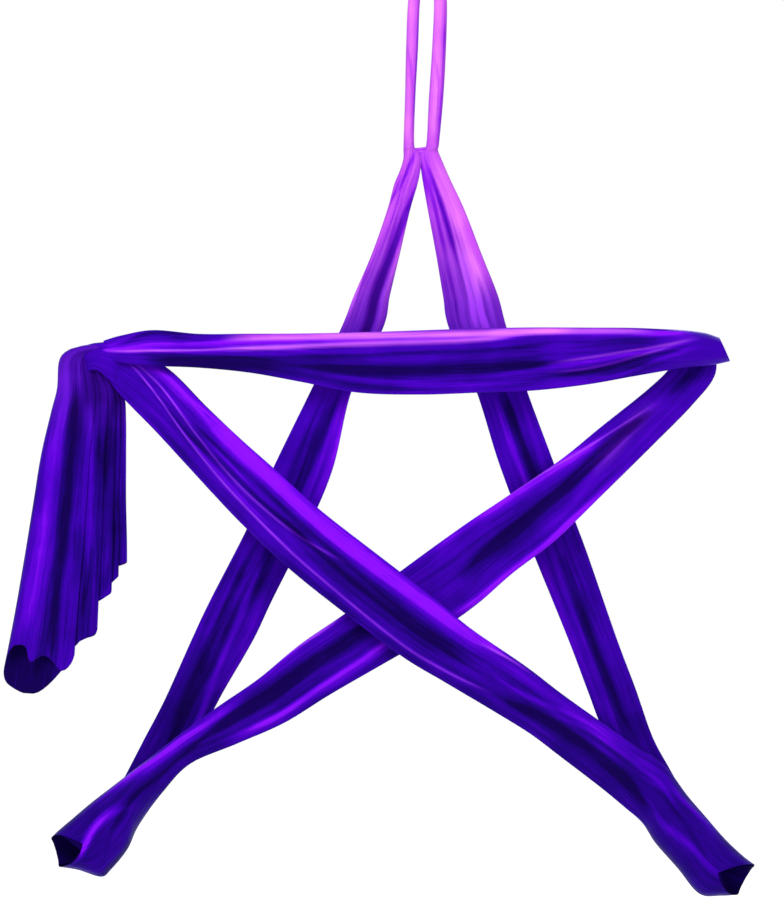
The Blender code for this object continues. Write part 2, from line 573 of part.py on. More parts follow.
def make_swivel(steel, bearing_steel, rubber):
    """Housing, spindle, nut, thrust bearing, retainer and dust seal."""
    ledge = HOUSING_TOP_Z - HOUSING_HEIGHT / 2
    groove = HOUSING_GROOVE_WIDE / 2
    groove_r = HOUSING_R - HOUSING_GROOVE
    profile = [(0, HOUSING_TOP_Z), (HOUSING_R - HOUSING_SHOULDER, HOUSING_TOP_Z),
               (HOUSING_R, HOUSING_TOP_Z - HOUSING_SHOULDER), (HOUSING_R, ledge + groove),
               (groove_r, ledge + groove / 2), (groove_r, ledge - groove / 2),
               (HOUSING_R, ledge - groove), (HOUSING_R, HOUSING_BOTTOM_Z + HOUSING_SHOULDER / 2),
               (HOUSING_R - HOUSING_SHOULDER / 2, HOUSING_BOTTOM_Z), (HOUSING_BORE_R, HOUSING_BOTTOM_Z),
               (HOUSING_BORE_R, HOUSING_TOP_Z - HOUSING_ROOF), (0, HOUSING_TOP_Z - HOUSING_ROOF)]
    housing = turned("swivel_housing", profile, 24, steel)
    fuse(housing, make_bail("upper_bail", UPPER_BAIL_Z, HOUSING_TOP_Z, steel))

    retainer_top = HOUSING_BOTTOM_Z + RETAINER_HEIGHT
    lower_washer_top = retainer_top + SEAM_GAP + WASHER_THICK
    ball_z = lower_washer_top + SEAM_GAP + BALL_R
    upper_washer_foot = ball_z + BALL_R + SEAM_GAP
    nut_foot = upper_washer_foot + WASHER_THICK + SEAM_GAP
    nut_top = nut_foot + NUT_HEIGHT
    spindle_top = nut_top - SEAM_GAP
    fit = HOUSING_BORE_R - SEAM_GAP

    def washer(name, foot, thick, inner, outer, material):
        top = foot + thick
        turned(name, ((inner, foot), (outer, foot), (outer, top), (inner, top)), 24, material)

    washer("bearing_retainer", HOUSING_BOTTOM_Z, RETAINER_HEIGHT, SPINDLE_R + SEAM_GAP, fit, steel)
    washer("bearing_lower_washer", retainer_top + SEAM_GAP, WASHER_THICK, WASHER_INNER_R, fit, bearing_steel)
    washer("bearing_upper_washer", upper_washer_foot, WASHER_THICK, SPINDLE_R + SEAM_GAP,
           fit - SEAM_GAP, bearing_steel)
    washer("dust_seal", FLANGE_TOP_Z + SEAM_GAP, SEAL_HEIGHT, SEAL_INNER_R, SEAL_OUTER_R, rubber)

    cage_foot, cage_top = ball_z - CAGE_HALF_THICK, ball_z + CAGE_HALF_THICK
    cage_inner, cage_outer = BALL_CIRCLE_R - BALL_R, BALL_CIRCLE_R + BALL_R
    cage = turned("bearing_ball_ring", ((cage_inner, cage_foot), (cage_outer, cage_foot),
                                        (cage_outer, cage_top), (cage_inner, cage_top)), 24, bearing_steel)
    for i in range(BALL_COUNT):
        angle = 2 * pi * i / BALL_COUNT
        half_round = arc((0, 0), BALL_R, -90, 90, 4)
        half_round[0] = (0, -BALL_R)
        half_round[-1] = (0, BALL_R)
        ball = turned("ball", half_round, 6, bearing_steel)
        fuse(cage, moved(ball, (BALL_CIRCLE_R * cos(angle), BALL_CIRCLE_R * sin(angle), ball_z)))

    nut_ring = [(NUT_R / cos(pi / 6)) * (1 if i % 2 else cos(pi / 6)) for i in range(12)]
    bore = [(SPINDLE_R + SEAM_GAP) / cos(pi / 12)] * 12
    levels = ((nut_ring, nut_foot), (nut_ring, nut_top), (bore, nut_top), (bore, nut_foot))
    rings = [[Vector((r * cos(pi * i / 6), r * sin(pi * i / 6), level)) for i, r in enumerate(radii)]
             for radii, level in levels]
    skin("spindle_nut", rings, bearing_steel, wrapped=True)

    shoulder, flange_r = SPINDLE_SHOULDER, SPINDLE_FLANGE_R
    profile = [(0, spindle_top), (SPINDLE_R - shoulder / 4, spindle_top),
               (SPINDLE_R, spindle_top - shoulder / 4), (SPINDLE_R, FLANGE_TOP_Z),
               (flange_r - shoulder / 2, FLANGE_TOP_Z), (flange_r, FLANGE_TOP_Z - shoulder / 2),
               (flange_r, FLANGE_BOTTOM_Z + shoulder), (flange_r - shoulder, FLANGE_BOTTOM_Z),
               (0, FLANGE_BOTTOM_Z)]
    spindle = turned("swivel_spindle", profile, 24, steel)
    fuse(spindle, make_bail("lower_bail", LOWER_BAIL_Z, FLANGE_BOTTOM_Z, steel))


# Rescue eight, in the XZ plane


def closed_ring(name, centre_z, radius, half_wide, half_thick, steps, material):
    """A ring of oval section round a Y axis."""
    rings = []
    for i in range(steps):
        angle = 2 * pi * i / steps
        spoke = Vector((cos(angle), 0, sin(angle)))
        centre = Vector((0, 0, centre_z)) + spoke * radius
        rings.append(ring_round(centre, spoke * half_wide, Vector((0, half_thick, 0)), 8))
    return skin(name, rings, material, wrapped=True)


def make_eight(name, grow, material):
    """The two rings, the neck between them and the two ears, all proud by grow."""
    thick = EIGHT_THICK_HALF + grow
    eight = closed_ring(name, BIG_RING_Z, BIG_RING_R, BIG_RING_HALF + grow, thick, 26, material)
    small = closed_ring(name + "_small", SMALL_RING_Z, SMALL_RING_R, SMALL_RING_HALF + grow, thick, 18,
                        material)
    levels = [NECK_TOP_Z + SMALL_RING_HALF, NECK_TOP_Z, NECK_Z, NECK_TOP_Z - EIGHT_NECK,
              NECK_TOP_Z - EIGHT_NECK - BIG_RING_HALF]
    flare_shares = (1.25, 1.06, 1.0, 1.12, 1.45)
    rings = [ring_round(Vector((0, 0, z)), Vector((EIGHT_NECK_HALF * share + grow, 0, 0)),
                        Vector((0, thick * 0.98, 0)), 10) for z, share in zip(levels, flare_shares)]
    neck = skin(name + "_neck", rings, material)
    fuse(eight, small, neck)
    for side in (-1, 1):
        away = Vector((side * cos(radians(22)), 0, sin(radians(22))))
        up = Vector((-side * sin(radians(22)), 0, cos(radians(22))))
        rings = []
        for reach, half, thin_share in ((0.0, EAR_ROOT_HALF, 0.9), (EAR_LENGTH * 0.5, EAR_TIP_HALF, 0.85),
                                        (EAR_LENGTH, EAR_TIP_HALF, 0.8), (EAR_LENGTH + EAR_TIP_HALF / 2,
                                                                          EAR_TIP_HALF / 2, 0.4)):
            centre = Vector((0, 0, BIG_RING_Z)) + away * (BIG_RING_R + reach + grow)
            rings.append(ring_round(centre, up * (half + grow), Vector((0, thick * thin_share, 0)), 10))
        fuse(eight, skin(name + "_ear", rings, material))
    return eight


# Cloth


def on_star(point):
    """A photograph pixel with its depth share, as a place in metres."""
    x, y, depth = point
    return Vector(((x - AXIS_PX) * PIXEL, STAR_BACK + depth * STAR_DEPTH, VIEW_TOP_Z - y * PIXEL))


def edge_pairs(table):
    """A table of edge points as pairs of places."""
    return [(on_star(one), on_star(other)) for one, other in table]


def eased(rows, at):
    """A row of vectors read from a smooth curve through a list of such rows."""
    i = min(int(at), len(rows) - 2)
    t = at - i
    before, here, there, after = (rows[max(i - 1, 0)], rows[i], rows[i + 1], rows[min(i + 2, len(rows) - 1)])
    return [((b * 2) + (c - a) * t + (a * 2 - b * 5 + c * 4 - d) * t * t
             + (b * 3 - a - c * 3 + d) * t * t * t) / 2
            for a, b, c, d in zip(before, here, there, after)]


def stations(rows, per_row):
    """Rows read evenly from the smooth curve, about per_row between each two of a list."""
    count = ceil((len(rows) - 1) * per_row)
    return [eased(rows, (len(rows) - 1) * i / count) for i in range(count + 1)]


def half_thick(width):
    """Half the thickness of the folded cloth where it is drawn in to a width."""
    return PANEL_HALF_THICK * sqrt(PANEL_WIDTH / width)


def folded_section(one, other, normal, thick, sway):
    """A closed line round a folded strip: folds along the front, then back along the rear."""
    def spread(i, last):
        share = i / last
        return share + sway * sin(pi * share) * FOLD_SWAY_SHARE

    last = len(FRONT_FOLD_SHARES) - 1
    ring = [one.lerp(other, spread(i, last)) + normal * thick * share
            for i, share in enumerate(FRONT_FOLD_SHARES)]
    last = len(BACK_FOLD_SHARES) - 1
    ring += [one.lerp(other, spread(i, last)) - normal * thick * BACK_FOLD_SHARES[i]
             for i in range(last - 1, 0, -1)]
    return ring


def stretch(name, pairs, material, rings_share=STRETCH_RINGS_SHARE, thick_share=1):
    """A stretch of folded cloth between two rows of edge points."""
    rows = stations(pairs, rings_share)
    rings = []
    for i, (one, other) in enumerate(rows):
        ahead = rows[min(i + 1, len(rows) - 1)]
        behind = rows[max(i - 1, 0)]
        along = (ahead[0] + ahead[1] - behind[0] - behind[1]).normalized()
        width = (other - one).length
        normal = along.cross(other - one).normalized()
        if normal.y > 0:
            normal = -normal
        rings.append(folded_section(one, other, normal, half_thick(width) * thick_share, sin(i * 0.9)))
    return skin(name, rings, material)


def make_knot(name, grow, material):
    """The half knot, a short thick wrap with slanting grooves between its turns."""
    centre = on_star(KNOT_CENTRE_PX)
    across, steps = 14, 12
    rings = []
    for i in range(steps + 1):
        share = -1 + 2 * i / steps
        reach = share * (KNOT_HALF_WIDE + grow)
        swell = max(1 - abs(share) ** 2.6, 0.0) ** 0.5 * 0.92 + 0.08
        ring = []
        for k in range(across):
            angle = 2 * pi * k / across
            groove = KNOT_GROOVE * swell * (0.5 + 0.5 * cos(3 * pi * share + angle))
            tall = (KNOT_HALF_HIGH + grow) * swell - groove
            deep = (KNOT_HALF_DEEP + grow) * swell - groove
            ring.append(centre + Vector((reach, deep * cos(angle), tall * sin(angle))))
        rings.append(ring)
    return skin(name, rings, material)


def loop_ring(one, other, half_deep, inset, ridge, across):
    """One ring of a sleeve between its two edge points, drawn in by inset and ridged outside."""
    centre = (one + other) / 2
    side = (other - one) / 2
    out = side.normalized()
    ring = []
    for k in range(across):
        angle = 2 * pi * k / across
        ripple = ridge * (0.5 + 0.5 * cos(6 * angle))
        ring.append(centre + out * (side.length - inset - ripple * 0.3) * cos(angle)
                    - Vector((0, half_deep - inset - ripple, 0)) * sin(angle))
    return ring


def make_loop(name, table, half_deep, notch, material, wall=0.0, grow=0.0):
    """A sleeve of cloth: a tube with a wall, or with none the full space that it takes up."""
    across = 16
    rows = stations(edge_pairs(table), 2)
    axis = ((rows[-1][0] + rows[-1][1]) - (rows[-2][0] + rows[-2][1])).normalized()
    outer = [loop_ring(one, other, half_deep + grow, -grow, LOOP_RIDGE if i else 0.0, across)
             for i, (one, other) in enumerate(rows)]
    if not wall:
        outer[0] = [point - axis * grow for point in outer[0]]
        outer[-1] = [point + axis * grow for point in outer[-1]]
        return skin(name, outer, material)
    inner = [loop_ring(one, other, half_deep, wall, 0.0, across) for one, other in rows]
    for ring in (outer[-1], inner[-1]):
        for k, point in enumerate(ring):
            front = max(sin(2 * pi * k / across), 0.0)
            point -= axis * notch * front ** 3
    return skin(name, outer + inner[::-1], material, wrapped=True)


def make_grip(name, grow, material):
    """The gather: all the folds drawn in to one round bundle that runs along X."""
    rings = []
    for i, (top, foot) in enumerate(stations(edge_pairs(GRIP_PX), 2)):
        half = (top - foot).length / 2 + grow
        deep = GRIP_HALF_DEEP + grow
        centre = (top + foot) / 2
        ring = []
        for k in range(14):
            angle = 2 * pi * k / 14
            ripple = 1 - 0.07 * (k % 2)
            ring.append(centre + Vector((0, deep * sin(angle), half * cos(angle))) * ripple)
        rings.append(ring)
    rings[0] = [point + Vector((grow, 0, 0)) for point in rings[0]]
    rings[-1] = [point - Vector((grow, 0, 0)) for point in rings[-1]]
    return skin(name, rings, material)


def make_tail(material):
    """The hanging end: deep upright folds, a rolled left edge and a hem in steps."""
    folds = len(TAIL_HEM_DROP_SHARES) - 1
    rows = stations(edge_pairs(TAIL_PX), 2)
    rings = []
    for i, (one, other) in enumerate(rows):
        fall = i / (len(rows) - 1)
        spread = min(fall / TAIL_SPREAD_SHARE, 1.0)
        hem_share = max(fall - HEM_START_SHARE, 0.0) / (1 - HEM_START_SHARE)
        thick = TAIL_HALF_THICK * (TAIL_TOP_THICK_SHARE + (1 - TAIL_TOP_THICK_SHARE) * spread)
        deep = TAIL_FOLD_DEEP * spread * (1 + fall) / 2
        front, back = [], []
        for k, drop_share in enumerate(TAIL_HEM_DROP_SHARES):
            share = k / folds
            point = one.lerp(other, share) - Vector((0, 0, TAIL_HEM_DROP * drop_share * hem_share))
            fold = -deep * TAIL_FOLD_SHARES[k]
            edge = thick * (EDGE_ROUND_SHARE if k in (0, folds) else 1.0)
            front.append(point + Vector((0, fold - edge, 0)))
            back.append(point + Vector((0, fold + edge, 0)))
        rings.append(front + back[::-1])
    return skin("hanging_tail", rings, material)


def make_hitch(material):
    """The folded cloth: up in front of the lower bar, back through the big ring, round the neck."""
    front = EIGHT_THICK_HALF + LEG_THICK_HALF - HITCH_BITE
    neck_side = EIGHT_NECK_HALF + LEG_THICK_HALF
    leg_foot = EIGHT_BAR_Z - BIG_RING_HALF - LEG_BELOW_EIGHT
    through_z = EIGHT_BAR_Z + BIG_RING_HALF + LEG_THICK_HALF + LEG_THICK_HALF / 2
    ring_top = BIG_RING_Z + BIG_RING_R
    flat = Vector((LEG_HALF, 0, 0))
    upright = Vector((0, 0, LEG_HALF))
    half_way = [
        (Vector((-LEG_X, -front, leg_foot)), flat),
        (Vector((-LEG_X, -front, EIGHT_BAR_Z)), flat),
        (Vector((-LEG_X * 0.9, -front / 2, through_z - LEG_THICK_HALF / 2)), flat * 0.95),
        (Vector((-LEG_X * 0.86, front / 2, through_z + LEG_THICK_HALF / 2)), flat * 0.95),
        (Vector((-LEG_X * 0.86, front, BIG_RING_Z)), flat),
        (Vector((-LEG_X * 0.92, front, ring_top - BIG_RING_HALF)), flat * 0.9 + upright * 0.1),
        (Vector((-neck_side * 1.04, front * 0.85, ring_top + BIG_RING_HALF)), flat * 0.45 + upright * 0.45),
        (Vector((-neck_side * 1.02, 0, NECK_Z)), upright * 0.8),
        (Vector((-neck_side * 0.72, -front * 0.86, NECK_Z)), upright * 0.8),
        (Vector((0, -front * 1.05, NECK_Z)), upright * 0.84),
    ]
    flip = Vector((-1, 1, 1))
    whole = half_way + [(centre * flip, half * flip) for centre, half in half_way[-2::-1]]
    rows = stations(whole, 2)
    rings = []
    for i, (centre, half) in enumerate(rows):
        along = (rows[min(i + 1, len(rows) - 1)][0] - rows[max(i - 1, 0)][0]).normalized()
        thick = along.cross(half).normalized() * LEG_THICK_HALF
        rings.append(ring_round(centre, half, thick, 10))
    return skin("neck_hitch", rings, material)


def leg_end(side):
    """The two edge points at the foot of one leg of the hitch."""
    front = EIGHT_THICK_HALF + LEG_THICK_HALF - HITCH_BITE
    z = EIGHT_BAR_Z - BIG_RING_HALF - LEG_BELOW_EIGHT - 2 * SEAM_GAP
    return [Vector((side * LEG_X + x, -front, z)) for x in (-LEG_HALF, LEG_HALF)]


def make_cloth(cloth):
    """All stretches of the cloth, each kept clear of what it runs into."""
    cut(make_hitch(cloth), make_eight("eight_clearance", SEAM_GAP, cloth))
    make_knot("crossing_knot", 0.0, cloth)
    knot_room = make_knot("knot_clearance", SEAM_GAP, cloth)
    for side, label, table in ((-1, "left", LEFT_STRAND_PX), (1, "right", RIGHT_STRAND_PX)):
        leg_foot = leg_end(side)
        lead = [point + Vector((0, LEG_LEAD_BACK, -LEG_LEAD)) for point in leg_foot]
        pairs = [leg_foot, lead] + edge_pairs(table)
        cut(stretch("upper_strand_" + label, pairs, cloth, STRAND_RINGS_SHARE, STRAND_THICK_SHARE), knot_room)

    loops = {}
    for label, table, half_deep, notch in (("left_foot_loop", LEFT_LOOP_PX, LOOP_HALF_DEEP, LOOP_NOTCH),
                                           ("right_foot_loop", RIGHT_LOOP_PX, LOOP_HALF_DEEP, LOOP_NOTCH),
                                           ("wrist_loop", WRIST_LOOP_PX, WRIST_HALF_DEEP, WRIST_NOTCH)):
        make_loop(label, table, half_deep, notch, cloth, wall=LOOP_WALL)
        loops[label] = make_loop(label + "_clearance", table, half_deep, 0.0, cloth, grow=SEAM_GAP)
    make_grip("grip_gather", 0.0, cloth)
    grip_room = make_grip("grip_clearance", SEAM_GAP, cloth)

    cut(stretch("left_drop", edge_pairs(LEFT_DROP_PX), cloth), knot_room, loops["left_foot_loop"])
    cut(stretch("right_drop", edge_pairs(RIGHT_DROP_PX), cloth), knot_room, loops["right_foot_loop"])
    cut(stretch("rear_diagonal", edge_pairs(REAR_DIAGONAL_PX), cloth), loops["wrist_loop"],
        loops["left_foot_loop"])
    cut(stretch("front_diagonal", edge_pairs(FRONT_DIAGONAL_PX), cloth), grip_room, loops["right_foot_loop"])
    cut(stretch("cross_band", edge_pairs(CROSS_BAND_PX), cloth), grip_room, loops["wrist_loop"])
    cut(make_tail(cloth), grip_room)


def main():
    """Clears the scene and builds every piece."""
    for thing in list(bpy.data.objects):
        bpy.data.objects.remove(thing)
    steel = paint("zinc-plated steel", (0.62, 0.63, 0.65), 0.32, 1.0)
    polished = paint("polished steel", (0.72, 0.72, 0.74), 0.22, 1.0)
    dark = paint("black oxide steel", (0.09, 0.09, 0.10), 0.38, 1.0)
    anodised = paint("anodised aluminium", (0.36, 0.37, 0.40), 0.35, 1.0)
    rubber = paint("nitrile rubber", (0.03, 0.03, 0.03), 0.7, 0.0)
    tricot = paint("violet nylon tricot", (0.10, 0.015, 0.48), 0.6, 0.0)
    make_ceiling_plate(steel)
    make_carabiner("upper", UPPER_CARABINER_Z, polished, dark)
    make_swivel(anodised, polished, rubber)
    make_carabiner("lower", LOWER_CARABINER_Z, polished, dark)
    make_eight("rescue_eight", 0.0, anodised)
    make_cloth(tricot)


main()
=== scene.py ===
"""Looks of the aerial silks: one length of violet nylon tricot drawn out as a star, and its rigging.

Metres, +Z up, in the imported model's frame. The cloth's places repeat the construction's: pixels of
the 784 x 914 photograph, each PIXEL wide at the star, with a depth as a share of STAR_DEPTH.
"""
from math import cos, pi, radians, sin

import bmesh
import bpy
import numpy as np
from mathutils import Matrix, Vector


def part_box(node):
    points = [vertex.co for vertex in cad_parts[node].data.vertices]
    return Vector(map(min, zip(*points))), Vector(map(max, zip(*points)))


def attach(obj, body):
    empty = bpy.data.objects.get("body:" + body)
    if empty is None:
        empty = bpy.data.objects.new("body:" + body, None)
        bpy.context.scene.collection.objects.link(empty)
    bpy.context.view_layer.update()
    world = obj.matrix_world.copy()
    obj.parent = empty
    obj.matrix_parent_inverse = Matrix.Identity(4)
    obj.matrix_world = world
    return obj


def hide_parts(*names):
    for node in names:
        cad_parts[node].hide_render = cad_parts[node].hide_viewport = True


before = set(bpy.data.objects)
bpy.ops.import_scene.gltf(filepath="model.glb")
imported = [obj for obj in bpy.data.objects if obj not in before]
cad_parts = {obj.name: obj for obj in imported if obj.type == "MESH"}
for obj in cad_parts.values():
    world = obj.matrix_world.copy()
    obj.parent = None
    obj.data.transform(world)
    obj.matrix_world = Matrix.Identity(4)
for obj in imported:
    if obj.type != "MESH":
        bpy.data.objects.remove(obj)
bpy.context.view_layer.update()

MM = 0.001
MERGE = 0.001 * MM

# The photograph's frame at the star
PIXEL = 0.0023
AXIS_PX = 428
VIEW_WIDE_PX, VIEW_HIGH_PX = 784, 914
STRAND_ABOVE_VIEW = 0.0912
STAR_DEPTH = 0.100
STAR_BACK = 0.042
VIEW_TOP_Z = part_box("rescue_eight")[0][2] - STRAND_ABOVE_VIEW
CAMERA_AWAY = 14.0
SENSOR_MM = 36.0

# Stage: each lamp is a square soft box with its place, side and power
FLOOR_SIDE = 40.0
FLOOR_Z = -3.0
FLOOR_GLOW = 0.62
FLOOR_GRAIN = 3.333 * MM
WORLD_LIGHT = 0.40
STAR_MIDDLE = (0.0, 0.0, -1.65)
LAMPS = (
    ("key light", (-1.8, -3.4, 1.0), 2.0, 155),
    ("fill light", (3.0, -3.0, -1.0), 2.2, 55),
    ("rim light", (0.8, 3.4, 0.6), 2.0, 80),
)

# Colours of the violet dye by the height of a fold, with painted shade in the deepest valley and a painted
# highlight on the ridge
FOLD_SHADED_DYE = (
    (0.0, "#12034A"), (0.25, "#220478"), (0.50, "#3A03A6"), (0.75, "#5404C6"), (1.0, "#8410F0"),
)
# The colours under painted pink light from above, by the same height of a fold
PINK_LIT_COLOURS = ((0.0, "#560AB8"), (0.3, "#8A1CDA"), (0.6, "#BC4CE0"), (1.0, "#E074EA"))

# How much painted pink light from above there is, by height in pixels
PINK_LIGHT_PX = (175, 215, 265, 305, 392)
PINK_LIGHT_SHARES = (1.0, 0.78, 0.46, 0.24, 0.0)

# Sizes of what the materials draw. At a scale of 1 a wave pattern repeats every WAVE_TURN, and
# WALE_STEP is measured on the flat cloth. The real grain of the metals and stipple of the rubber,
# 0.1 mm or less, are too fine to show, so they are drawn 0.6 to 1.6 mm wide.
DYE_CLOUD = 111.1 * MM
SLUB_WIDE, SLUB_LONG = 5 * MM, 130 * MM
WALE_STEP = 7.54 * MM
WAVE_TURN = 2 * pi / 20
METAL_CLOUD = 16.67 * MM
GRAIN_GLOSS = 0.18
RUBBER_STIPPLE = 0.8 * MM

# The cloth: one width of tricot, gathered into folds that lie on each other. An oval section is (share
# of the thickness at its edges, power of its curve).
CLOTH_WIDE = 1.50
LAYERS = 13
FRONT_COLUMNS = 76
BACK_COLUMNS = 44
INNER_COLUMNS = 7
ROW_STEP = 0.006
PANEL_WIDTH = 0.120
PANEL_HALF_THICK = 0.0080
FLAT_OVAL = (0.35, 4)
STOUT_OVAL = (0.15, 2.4)
STOUT_RISE, STOUT_FROM = 3, 0.3
INNER_DROP = 2.0 * MM
INNER_REACH = 0.9
INNER_STAGGER = 0.03
STAGGER_RATES = (7, 9)
# Painted shade on the inner layers of a stack, between its face and its back
INNER_SHADE = 0.15
BUNDLE_TAPER = 0.7
SEAM_CALM = 0.03
TABLE_STEPS = 600
SEED = 20

# Fine folds: spacing in m and height in mm of each kind, and how they wander, lean and swell
FOLD_KINDS = ((0.024, 1.5), (0.0130, 0.7), (0.0076, 0.32))
FOLD_SWAY = 0.34
SWAY_OVERRUN = 0.3
FOLD_LEAN = 0.35
FOLD_STEADY = 0.62
FOLD_SLANT = 5
FOLD_RATES = (0.7, 1.6)
RIDGE_MEAN = 0.62
VALLEY_ROUND = 0.012

# Creases of the back: how many, how deep, and the spans that their numbers are drawn from
BACK_CREASES = 5
BACK_CREASE_DEEP = 3.0 * MM
BACK_COARSE = 1.5
CREASE_PLACES = (0.1, 0.9)
CREASE_SLANTS = (-0.25, 0.25)
CREASE_SHARES = (0.3, 1.0)
CREASE_REACHES = (0.06, 0.14)
CREASE_STEADY = 0.6
CREASE_RATES = (0.4, 0.9)

# Folds and marks of painted light and shade drawn singly: how long their ends fade, and how far from the
# middle a pixel may lie
MARK_FADE = 0.05
MARK_OUTSIDE = 0.7

# Painted shade and highlight: what a fold of full height adds to the dye's place in its colours, lighter on
# ridges and darker in valleys, and how painted shade darkens it downwards
FULL_FOLD = 2.6 * MM
FRONT_CONTRAST = 0.28
BACK_CONTRAST = 0.34
TAIL_CONTRAST = 0.22
FOOT_SHADE = 0.22
FOOT_SHADE_PX = (420, 800)

# Sleeves of the three loops: start share, full share, half depth, notch share, notch middle
SLEEVE_WALL = 0.0060
SLEEVE_BACK_SHARE = 0.3
FOOT_HALF_DEEP = 0.046
WRIST_HALF_DEEP = 0.036
NOTCH_REACH = 0.5
NOTCH_POWER = 1.3
LEFT_FOOT_SLEEVE = (0.80, 0.885, FOOT_HALF_DEEP, 0.038, 0.44)
RIGHT_FOOT_SLEEVE = (0.80, 0.885, FOOT_HALF_DEEP, 0.036, 0.52)
WRIST_SLEEVE = (0.86, 0.965, WRIST_HALF_DEEP, 0.0, 0.5)

# The knot, a wrap that both strands pass through
KNOT_PX = (421.0, 156.0)
KNOT_HALF_WIDE = 0.0325
KNOT_FRONT_DEEP = 0.005
KNOT_BACK_DEEP = 0.0210
KNOT_HALF_THICK = 0.0050
KNOT_HALF_HIGH = 0.0215
KNOT_FLARE = 0.0045
KNOT_TILT = 0.10
KNOT_START, KNOT_END = -196, 196
KNOT_STEPS = 24
KNOT_LAYERS = 25

# Ceiling plate
PLATE_SIDE = 0.120
PLATE_THICK = 0.008
PLATE_CORNER_R = 0.012
PLATE_EDGE_R = 1.0 * MM
PLATE_HOLE_R = 0.0055
PLATE_HOLE_INSET = 0.020
CEILING_BAR_R = 0.006
CEILING_BAIL_R = 0.022
WELD_LEG = 0.004
WELD_BITE = 0.3 * MM
WELD_BELLY_SHARES = (0.7, 0.75)
WELD_RIPPLES, WELD_LOBES = 13, 3
WELD_RIPPLE_SHARE, WELD_LOBE_SHARE = 0.05, 0.03
ROOT_SINK = 0.003

# Screw-gate carabiners
SEAM_GAP = 0.0003
CARABINER_BAR_R = 0.006
CARABINER_BEND_R = 0.024
FORGED_EDGE_R = 0.5 * MM
GATE_Y = -CARABINER_BEND_R
GATE_R = 0.0057
GATE_RIM = 0.4 * MM
GATE_PIN_Z = -0.0215
GATE_NOSE_Z = 0.0272
GATE_SLOT_DEPTH = 0.0062
GATE_BORE_R = 0.0028
SIDE_PLAY = 0.0003
TONGUE_THICK = 0.0040
TONGUE_R = 0.0045
TONGUE_BORE_R = 0.0019
NOSE_LUG_THICK = 0.0030
NOSE_LUG_DROP = 0.0050
NOSE_LUG_WIDE = 0.0076
SLEEVE_BORE_R = 0.0063
SLEEVE_OUTER_R = 0.0086
SLEEVE_RIM = 0.6 * MM
SLEEVE_COLLAR = 2.2 * MM
SLEEVE_DIP = 0.35 * MM
SLEEVE_FLUTE = 0.0007
SLEEVE_FLUTES = 12
FLUTE_POWER = 1.4

# Swivel
BAIL_BAR_R = 0.006
BAIL_R = 0.019
HOUSING_R = 0.0255
HOUSING_HEIGHT = 0.034
HOUSING_ROOF = 0.006
HOUSING_BORE_R = 0.017
HOUSING_SHOULDER = 0.004
HOUSING_GROOVE = 0.0012
HOUSING_GROOVE_WIDE = 0.0030
HOUSING_EDGE_R = 1.6 * MM
SPINDLE_R = 0.008
SPINDLE_FLANGE_R = 0.0235
SPINDLE_FLANGE_THICK = 0.013
SPINDLE_SHOULDER = 0.003
SPINDLE_EDGE_R = 1.2 * MM
SEAL_HEIGHT = 0.0026

# The rescue eight. Stations along its neck are (place, share of the half width), and along an ear
# (place, half width, thickness share).
EIGHT_THICK_HALF = 0.0065
SMALL_RING_R = 0.019
SMALL_RING_HALF = 0.006
BIG_RING_R = 0.045
BIG_RING_HALF = 0.007
EIGHT_NECK = 0.014
EIGHT_NECK_HALF = 0.0095
NECK_THICK_SHARE = 0.98
EAR_LENGTH = 0.024
EAR_ROOT_HALF = 0.0085
EAR_TIP_HALF = 0.0050
EAR_RISE = radians(22)
NECK_STATIONS = (
    (SMALL_RING_HALF, 1.25), (0, 1.06), (-EIGHT_NECK / 2, 1.0), (-EIGHT_NECK, 1.12),
    (-EIGHT_NECK - BIG_RING_HALF, 1.45),
)
EAR_STATIONS = (
    (0.0, EAR_ROOT_HALF, 0.9), (EAR_LENGTH * 0.5, EAR_TIP_HALF, 0.85), (EAR_LENGTH, EAR_TIP_HALF, 0.8),
    (EAR_LENGTH + EAR_TIP_HALF / 2, EAR_TIP_HALF / 2, 0.4),
)
EIGHT_VOXEL = 0.0010
EIGHT_BAR_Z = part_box("rescue_eight")[0][2] + BIG_RING_HALF
BIG_RING_Z = EIGHT_BAR_Z + BIG_RING_R
NECK_Z = BIG_RING_Z + BIG_RING_R + BIG_RING_HALF + EIGHT_NECK / 2

# The hitch round the eight
LEG_X = 0.021
LEG_HALF = 0.0125
LEG_THICK_HALF = 0.0088
LEG_BELOW_EIGHT = 0.016
LEAD_LENGTH = 0.16
HITCH_LAYERS = 51

# The gather and the hanging end. Spans are shares along it, and in its plan a depth of
# PLAN_DEPTH_UNIT counts as much as the whole width.
GRIP_HALF_THICK = 0.0150
GRIP_END_THICK = 0.0036
GRIP_LAYERS = 23
TAIL_COLUMNS = 300
TAIL_ROWS = 96
TAIL_CLOTH_THICK = 0.0006
TAIL_FORWARD = 6 * MM
TAIL_SWING = 0.405
TAIL_FINE, GATHER_FINE = 0.9, 0.8
GATHER_DRAWN_IN = 0.35
PLAN_DEPTH_UNIT = 0.1
TAIL_TONE = 0.46
# Painted pink light from above at the top of the hanging end: its share and the span where it fades
TAIL_PINK_LIGHT = 0.08
PINK_LIGHT_SPAN = (0.05, 0.32)
FAN_SPAN = (0.0, 0.30)
SWING_SPAN = (0.15, 1.0)
# Painted shade in the hanging end's hollows, by how deep the cloth lies behind the front-most layer near it
HOLLOW_SHADE_SPAN = (0.1, 0.9)
TAIL_HOLLOW_SHADE = 0.44
TAIL_COVER_REACH = 0.04
TAIL_COVER_DEPTHS = (0.003, 0.010)


# Places


def on_star(x, y, depth):
    """A photograph pixel with its depth share, as a place in metres."""
    return ((x - AXIS_PX) * PIXEL, STAR_BACK + depth * STAR_DEPTH, VIEW_TOP_Z - y * PIXEL)


def smooth_step(low, high, at):
    """0 below low, 1 above high and an even ease between them."""
    share = np.clip((at - low) / (high - low), 0.0, 1.0)
    return share * share * (3 - 2 * share)


